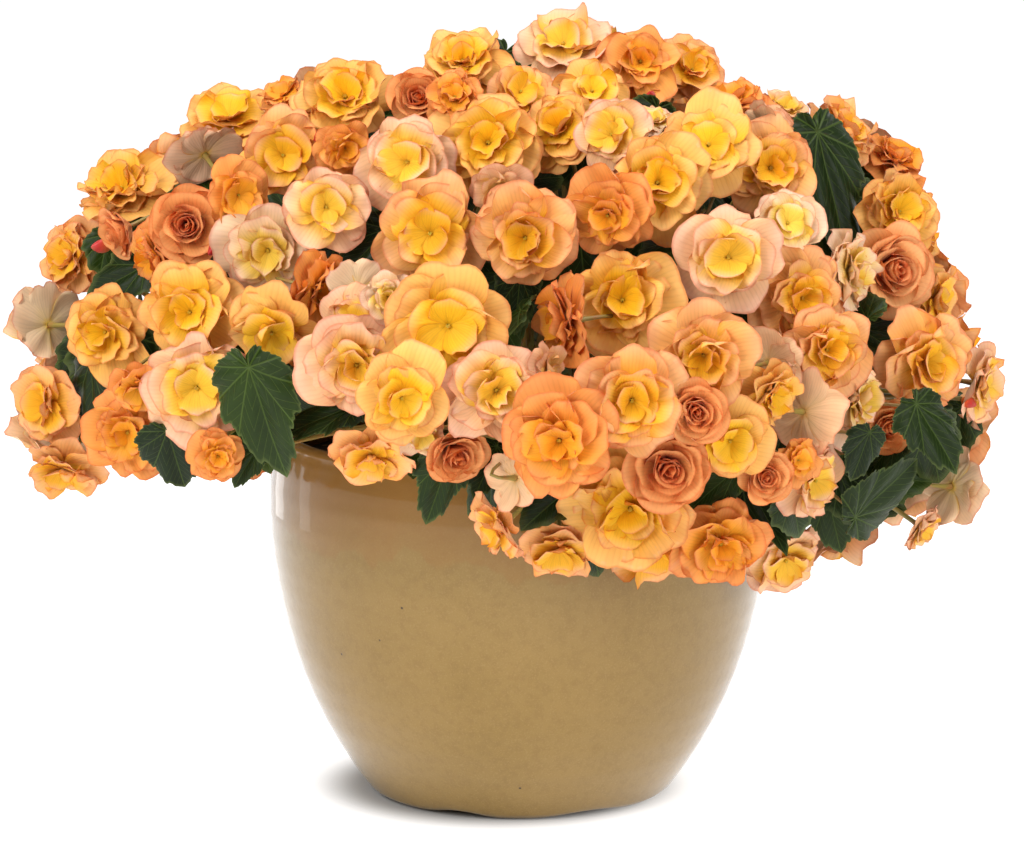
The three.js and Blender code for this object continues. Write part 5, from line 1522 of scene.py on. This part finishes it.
def petal_finish(name, glow):
    """Base colour: the tint, darker along fine veins and broad ribs, mottled a little and redder at the very
    rim. Veins are high powers of |sin| across the petal. The translucent share is even."""
    m = Material(name)
    u, v = m.uv()
    across = (u - 0.5) * (1.1 - v * 0.25)
    wobble = m.noise(90.0, 2.0) * 0.9
    veins = ((across * 64 + wobble * 2.2).sin().abs() ** 6) * (1 - v.between(0.55, 1.0) * 0.4)
    ribs = ((across * 17 + wobble).sin().abs() ** 12) * (1 - v.between(0.3, 0.9))
    mottle = m.noise(260.0, 3.0)
    shade = 1 - veins * 0.10 - ribs * 0.10 - mottle * 0.10
    colour = m.node("ShaderNodeVectorMath", {"operation": "SCALE"}, {0: m.tint(), "Scale": shade + 0.06})
    rim = v.math("MAXIMUM", (u - 0.5).abs() * 2).between(0.93, 0.995)
    colour = m.mix(rim * 0.5, colour, RIM_RED, "MULTIPLY")
    relief = veins * -0.5 + mottle * 0.6 - ribs
    m.set(Base_Color=colour, Roughness=0.52 + mottle * 0.12, Normal=m.bump(relief, 0.35, 0.0004))
    m.set(Specular_IOR_Level=0.32, Sheen_Weight=0.12, Sheen_Roughness=0.4)
    shine = m.node("ShaderNodeBsdfTranslucent", {}, {"Color": glow})
    both = m.node("ShaderNodeMixShader", {}, [TRANSLUCENT_SHARE, Socket(m, m.shader.outputs[0]), shine])
    m.put(m.tree.nodes["Material Output"].inputs["Surface"], both)
    return m.material


petal_warm = petal_finish("petal_warm", rgba((255, 176, 84)))
petal_pale = petal_finish("petal_pale", rgba((255, 206, 150)))

# %% [markdown]
# ## Leaf and stalk finish
# The upper side of a leaf is dark and glossy. Paler veins fan out from the foot, and side veins branch from
# them. The angle and the distance from the foot come from the leaf's own flat map.

# %% Leaf and stalk finish
VEINS = dict(step=0.56, slant=1.5, apart=0.11)
LEAF_CLOUD, LEAF_VEIN, STALK_STREAK = rgba((18, 28, 10)), rgba((96, 116, 52)), rgba((168, 92, 60))


def leaf_finish():
    """Main veins run where the angle from the foot is near a whole number of steps, and are as wide
    everywhere. Side veins run where the distance from the foot, less a part of the way from the main vein,
    repeats."""
    m = Material("leaf_gloss")
    u, v = m.uv()
    x, y = u * 2 - 1, v * 2 - 1
    angle = y.math("ARCTAN2", x).abs()
    far = (x * x + y * y) ** 0.5
    offset = angle.math("PINGPONG", VEINS["step"] / 2)
    main = 1 - (offset * far).between(0.004, 0.013)
    side = (far - offset * far * VEINS["slant"]).math("PINGPONG", VEINS["apart"] / 2)
    fine = (1 - side.between(0.002, 0.009)) * 0.6
    net = m.noise(420.0, 4.0)
    veins = main.math("MAXIMUM", fine)
    cloud = m.noise(38.0, 4.0, 0.6)
    dark = m.mix(cloud.between(0.3, 0.75) * 0.5, m.tint(), LEAF_CLOUD)
    colour = m.mix(veins * 0.34, dark, LEAF_VEIN)
    m.set(Base_Color=colour, Roughness=0.36 + net * 0.16)
    m.set(Normal=m.bump(veins * -0.7 + net * 0.5, 0.55, 0.0008), Specular_IOR_Level=0.20)
    return m.material


def stalk_finish():
    """Fleshy and a little see-through: the tint with faint red streaks along it."""
    m = Material("stalk")
    streak = m.noise(140.0, 3.0)
    colour = m.mix(streak.between(0.45, 0.7) * 0.5, m.tint(), STALK_STREAK)
    m.set(Base_Color=colour, Roughness=0.42, Normal=m.bump(streak, 0.3, 0.0005))
    return m.material


leaf_gloss, stalk = leaf_finish(), stalk_finish()

# %% [markdown]
# ## Build the plant
# Each spray and each stem is one piece that replaces its CAD node.

# %% Build sprays
spray_faces = 0
for i, s in enumerate(sprays):
    parts = [p for b in s.blooms for p in bloom_parts(b)]
    parts += [flower_stalk(f) for f in s.blooms + s.buds] + [bud_part(b) for b in s.buds]
    name = f"spray_{i + 1:02d}"
    node = f"flower_spray_{i + 1:02d}"
    piece = make_piece(name, parts, [petal_warm, stalk, petal_pale], [node])
    spray_faces += len(piece.data.polygons)
print(spray_faces, "faces on sprays")

# %% Build stems and leaves
# One large leaf of the lower right found room only edge-on to the photo. The scene turns its face to it.
edge_on = stems[10].leaves[0]
to_eye = edge_on.normal - away * 0.9
edge_on.normal = unit(to_eye - edge_on.forward * (to_eye @ edge_on.forward))
edge_on.side = np.cross(edge_on.normal, edge_on.forward)
leaf_faces = 0
for i, stem in enumerate(stems):
    parts = stem_parts(stem, i)
    for k, leaf in enumerate(stem.leaves):
        grid = SHADE_GRID if leaf.shade else FINE_GRID
        parts += [leaf_part(leaf, i * 20 + k, **grid), leaf_stalk(leaf)]
    piece = make_piece(f"stem_{i + 1:02d}", parts, [leaf_gloss, stalk], [f"leafy_stem_{i + 1:02d}"])
    leaf_faces += len(piece.data.polygons)
print(leaf_faces, "faces on stems and leaves")

# %% [markdown]
# ## The pot
# The pot is thrown stoneware, so its wall is one profile turned about an axis. The profile rises from the
# foot to the belly and closes in a little to a rounded lip.

# %% Pot shape
def pot_radius(z):
    """Radius of the outside: under the belly, r = belly - (belly - foot)(0.8 s^1.85 + 0.2 s^4) with s falling
    from 1 at the foot to 0 at the belly; above it the wall closes in with the square of the height."""
    belly = POT["height"] * 0.8
    low = np.clip(1 - z / belly, 0, 1)
    high = np.clip((z - belly) / (POT["height"] - belly), 0, 1)
    swell = (POT["belly"] - POT["foot"]) * (0.8 * low**1.85 + 0.2 * low**4)
    return POT["belly"] - swell - (POT["belly"] - POT["rim"]) * high**2


def turned(profile, sides):
    """A profile of (radius, height) rows turned about the upright axis: points, point numbers and flat
    map."""
    turns = even_turns(sides)
    r, z = profile[:, :1], profile[:, 1:]
    points = np.stack([r * np.cos(turns), r * np.sin(turns), z + 0 * turns], -1)
    index = np.arange(points[..., 0].size).reshape(len(profile), sides)
    u, v = np.meshgrid(np.arange(sides) / sides, np.linspace(0, 1, len(profile)))
    return points, index, np.stack([u, v], -1)


POT_GRID = dict(sides=288, outer=66, lip=16, inner=20)
LIP_RADIUS = 4.6
# Where the foot doesn't quite touch the floor: angle and half width in degrees, height in mm.
FOOT_GAPS = [
    (-114, 10, 3.4), (-62, 14, 2.8), (-20, 8, 1.2), (20, 10, 1.6), (70, 14, 2.0), (140, 12, 1.8),
    (195, 8, 1.4),
]
GAP_TOP = 6


def pot_profile():
    """Rows of radius and height: foot, outer wall, lip, inner wall and floor; and which rows are outer
    wall."""
    edge, rim, top, floor_z = POT["foot"], POT["rim"], POT["height"], POT["floor"]
    foot = np.array([[0, 0.0], [40, 0.0], [edge - 5, 0.0], [edge - 2.2, 0.4], [edge - 0.7, 1.4]])
    outer_z = np.concatenate([[3.0, 4.5, 7], np.linspace(11, top - 9, POT_GRID["outer"])])
    outer = np.stack([pot_radius(outer_z), outer_z], 1)
    lip_turn = np.linspace(-0.2, np.pi + 0.1, POT_GRID["lip"])
    lip_middle = np.array([rim - 3.9, top - LIP_RADIUS])
    lip = lip_middle + LIP_RADIUS * np.stack([np.cos(lip_turn), np.sin(lip_turn)], 1)
    inner_z = np.linspace(top - 14, floor_z + 12, POT_GRID["inner"])
    inner = np.stack([pot_radius(inner_z) - POT["wall"], inner_z], 1)
    inner_foot = pot_radius(np.array(15.0)) - POT["wall"] - 6
    base = np.array([[inner_foot, floor_z + 2], [60, floor_z], [0, floor_z]])
    profile = np.vstack([foot, outer, lip, inner, base])
    row = np.arange(len(profile))
    return profile, (row >= len(foot)) & (row < len(foot) + len(outer))


def pot_part():
    """The profile turned about its axis, then the small uneven places of the hand: rings of the throwing, an
    outline that isn't quite round, and a foot that lifts off the floor by height exp(-(angle / width)^2)."""
    profile, outside = pot_profile()
    points, index, uv = turned(profile, POT_GRID["sides"])
    x, y, z = points[..., 0], points[..., 1], points[..., 2]
    angle = np.arctan2(y, x)
    rings = 0.10 * np.sin(z * 0.42 + 0.5 * np.sin(z * 0.05)) + 0.12 * np.sin(3 * angle + z * 0.02)
    rings = rings * outside[:, None] * smooth(z, 4, 30)
    near_foot = smooth(np.hypot(x, y), 50, 88) * np.maximum(1 - z / GAP_TOP, 0)
    lift = 0
    for middle, width, height in FOOT_GAPS:
        beside = (np.degrees(angle) - middle + 180) % 360 - 180
        lift = lift + height * np.exp(-((beside / width) ** 2)) * near_foot
    points = points + np.stack([np.cos(angle) * rings, np.sin(angle) * rings, lift], -1)
    return part(points, grid_faces(index, closed=True), uv, (1, 1, 1), 0)


# %% [markdown]
# ## The glaze
# The glaze is a glassy tan coat over the clay. It is finely mottled and speckled, runs a little browner
# near the rim, and has a few dark pinholes. The brown near the rim is partly the glaze's own colour and
# partly painted shade of the plant that hangs over the rim. All of this is noise on the place in the pot, and
# the gloss is a clear coat.

# %% Glaze and soil finish
# Small pits in the glaze: pixels across and down in the photo, and metres from the middle where they fade.
PINHOLES = [(402, 608), (380, 640), (342, 654), (520, 788)]
PINHOLE_EDGE = (0.0004, 0.0011)
# brown is the band under the rim: partly the glaze's own colour, partly painted shade of the plant over it.
GLAZE = dict(tan=(136, 108, 56), pale=(145, 116, 64), dark_speck=(112, 84, 40), light_speck=(164, 134, 84),
             brown=(146, 98, 42), pinhole=(60, 44, 28))
SOIL_TONES = dict(dark=(34, 24, 17), crumb=(74, 54, 38), bit=(150, 126, 96))


def on_pot(across, down):
    """The first point on a sight line that meets the outside of the pot."""
    places = along_sight(across, down, -SEARCH["pot"], 0, SEARCH["pot_step"])
    return places[np.argmax(np.hypot(places[:, 0], places[:, 1]) < pot_radius(places[:, 2]))]


def glaze_finish():
    """Base colour from mottling noise at three sizes, browner over two soft lines under the rim, with dark
    pinholes. The brown under the rim is partly glaze colour and partly painted shade of the overhanging
    plant. Long runs ripple the glaze."""
    m = Material("glaze")
    place = m.object_place()
    z = m.node("ShaderNodeSeparateXYZ", {}, [place], 2)
    fine = m.noise(900.0, 2.0, 0.6, place)
    middle = m.noise(160.0, 4.0, 0.65, place)
    broad = m.noise(11.0, 3.0, 0.5, place)
    stretched = m.node("ShaderNodeMapping", {}, {"Vector": place, "Scale": (1.0, 1.0, 0.25)})
    runs = m.noise(22.0, 3.0, 0.55, stretched)
    tone = {name: rgba(colour) for name, colour in GLAZE.items()}
    colour = m.mix(broad.between(0.3, 0.7), tone["tan"], tone["pale"])
    colour = m.mix(middle.between(0.42, 0.66) * 0.2, colour, tone["dark_speck"])
    colour = m.mix(fine.between(0.5, 0.72) * 0.3, colour, tone["light_speck"])
    # The band under the rim and its line: partly the glaze's own brown, partly painted shade of the plant
    # over the rim.
    brown_and_shade_line = (z + runs * 0.06 + middle * 0.006).between(0.203, 0.207)
    rim_brown_and_shade = (z + runs * 0.05).between(0.185, 0.25) + brown_and_shade_line * 0.5
    colour = m.mix(rim_brown_and_shade * 0.5, colour, tone["brown"])
    holes = [tuple(on_pot(*spot) * MM) for spot in PINHOLES]
    pin = sum(1 - m.distance(place, hole).between(*PINHOLE_EDGE) for hole in holes)
    colour = m.mix(pin, colour, tone["pinhole"])
    m.set(Base_Color=colour, Roughness=0.30 + middle * 0.12, Specular_IOR_Level=0.15)
    m.set(Normal=m.bump(runs + fine * 0.06 - pin, 0.25, 0.002))
    m.set(Coat_Weight=1.0, Coat_Roughness=0.04, Coat_IOR=1.34)
    return m.material


def soil_finish():
    """Dark crumbs with a few paler bits."""
    m = Material("soil")
    crumbs = m.noise(240.0, 6.0, 0.7)
    bits = m.noise(90.0, 2.0)
    tone = {name: rgba(colour) for name, colour in SOIL_TONES.items()}
    colour = m.mix(crumbs.between(0.35, 0.7), tone["dark"], tone["crumb"])
    colour = m.mix(bits.between(0.66, 0.72) * 0.7, colour, tone["bit"])
    m.set(Base_Color=colour, Roughness=0.92, Normal=m.bump(crumbs, 0.9, 0.003))
    return m.material


# %% Build pot and soil
glaze = glaze_finish()
pot = make_piece("glazed_pot", [pot_part()], [glaze], ["pot"])


SOIL_GRID = dict(rings=60, sides=200)


def soil_part():
    """A closed disc of crumbs: waves of several sizes lift the top, and the sides go down inside the pot."""
    side = SOIL["side"]
    outermost = pot_radius(np.array(float(side))) - POT["wall"] - 1.5
    rings = np.concatenate([[0, 0, 60, 110], np.linspace(outermost, 0, SOIL_GRID["rings"])])
    heights = np.zeros(len(rings))
    heights[:5] = [190, 190, 190, 192, side]
    turns = even_turns(SOIL_GRID["sides"])
    r = rings[:, None]
    x, y = r * np.cos(turns), r * np.sin(turns)
    lumps = 1.4 * np.sin(x * 0.31 + 2 * np.sin(y * 0.17)) * np.cos(y * 0.27 + np.sin(x * 0.23))
    lumps = lumps + 0.9 * np.sin(x * 0.83 + 3 * np.sin(y * 0.31)) * np.sin(y * 0.71)
    lumps = lumps * smooth(140 - r, 0, 12)
    top = SOIL["top"] - 0.5 + SOIL["mound"] * (1 - smooth(r, 70, 146)) + lumps
    z = np.where(heights[:, None] > 0, heights[:, None], top)
    index = np.arange(z.size).reshape(z.shape)
    return part(np.stack([x, y, z], -1), grid_faces(index, closed=True), np.zeros((z.size, 2)), (1, 1, 1), 0)


soil = make_piece("potting_soil", [soil_part()], [soil_finish()], ["soil"])
print("pot:", len(pot.data.polygons), "faces; soil:", len(soil.data.polygons))

# %% [markdown]
# ## Floor and light
# The photo is a product shot on white: a large soft light on the left, a smaller one on the right, narrow
# ones that draw the strips of light in the glaze, a bright surround, and a soft shadow on the floor. The
# floor glows away from the pot, so that only the shadow close by stays.

# %% Floor and light
# All in metres. The floor starts to glow at the edge of the shadow and glows fully past its end.
FLOOR_REACH = 40.0
SHADOW_MIDDLE = (-0.014, 0.0, 0.0)
SHADOW_EDGE = (0.086, 0.13)
SURROUND = 0.25
floor_mesh = bpy.data.meshes.new("floor")
corners = [(x * FLOOR_REACH, y * FLOOR_REACH, 0) for x, y in ((-1, -1), (1, -1), (1, 1), (-1, 1))]
floor_mesh.from_pydata(corners, [], [(0, 1, 2, 3)])
floor = add_object("floor", floor_mesh)
paper = Material("paper")
paper.set(Base_Color=(0.5, 0.5, 0.5, 1), Roughness=0.9, Specular_IOR_Level=0.1)
far_off = paper.distance(paper.object_place(), SHADOW_MIDDLE).between(*SHADOW_EDGE)
paper.set(Emission_Color=paper.mix(far_off, (0, 0, 0, 1), (0.9, 0.9, 0.9, 1)), Emission_Strength=1.0)
floor_mesh.materials.append(paper.material)

world = bpy.data.worlds.new("studio")
bpy.context.scene.world = world
world.use_nodes = True
world.node_tree.nodes["Background"].inputs["Color"].default_value = (1, 1, 1, 1)
world.node_tree.nodes["Background"].inputs["Strength"].default_value = SURROUND


# Each: name, place and the height of the point it faces (m), width and height (m), power (W).
SOFTBOXES = [
    ("key_light", (-1.4, -1.9, 1.5), 0.28, 1.4, 1.4, 43),
    ("fill_light", (1.8, -1.6, 1.0), 0.25, 1.0, 1.2, 19),
    ("top_light", (0.1, -0.4, 2.2), 0.3, 1.4, 1.4, 33),
    ("left_edge", (-0.60, 0.62, 0.33), 0.25, 0.2, 0.62, 0.5),
    ("left_strip", (-0.81, 0.25, 0.33), 0.25, 0.13, 0.62, 0.24),
    ("right_edge", (1.7, 1.1, 0.6), 0.15, 0.5, 1.3, 6),
]
for name, spot, target_z, width, height, power in SOFTBOXES:
    lamp = add_object(name, bpy.data.lights.new(name, "AREA"))
    lamp.data.shape = "RECTANGLE"
    lamp.data.size, lamp.data.size_y = width, height
    lamp.data.energy = power
    lamp.location = spot
    facing_way = Vector((0, 0, target_z)) - Vector(spot)
    lamp.rotation_euler = facing_way.to_track_quat("-Z", "Y").to_euler()
view = bpy.context.scene.view_settings
view.view_transform = "Standard"
view.look = "None"
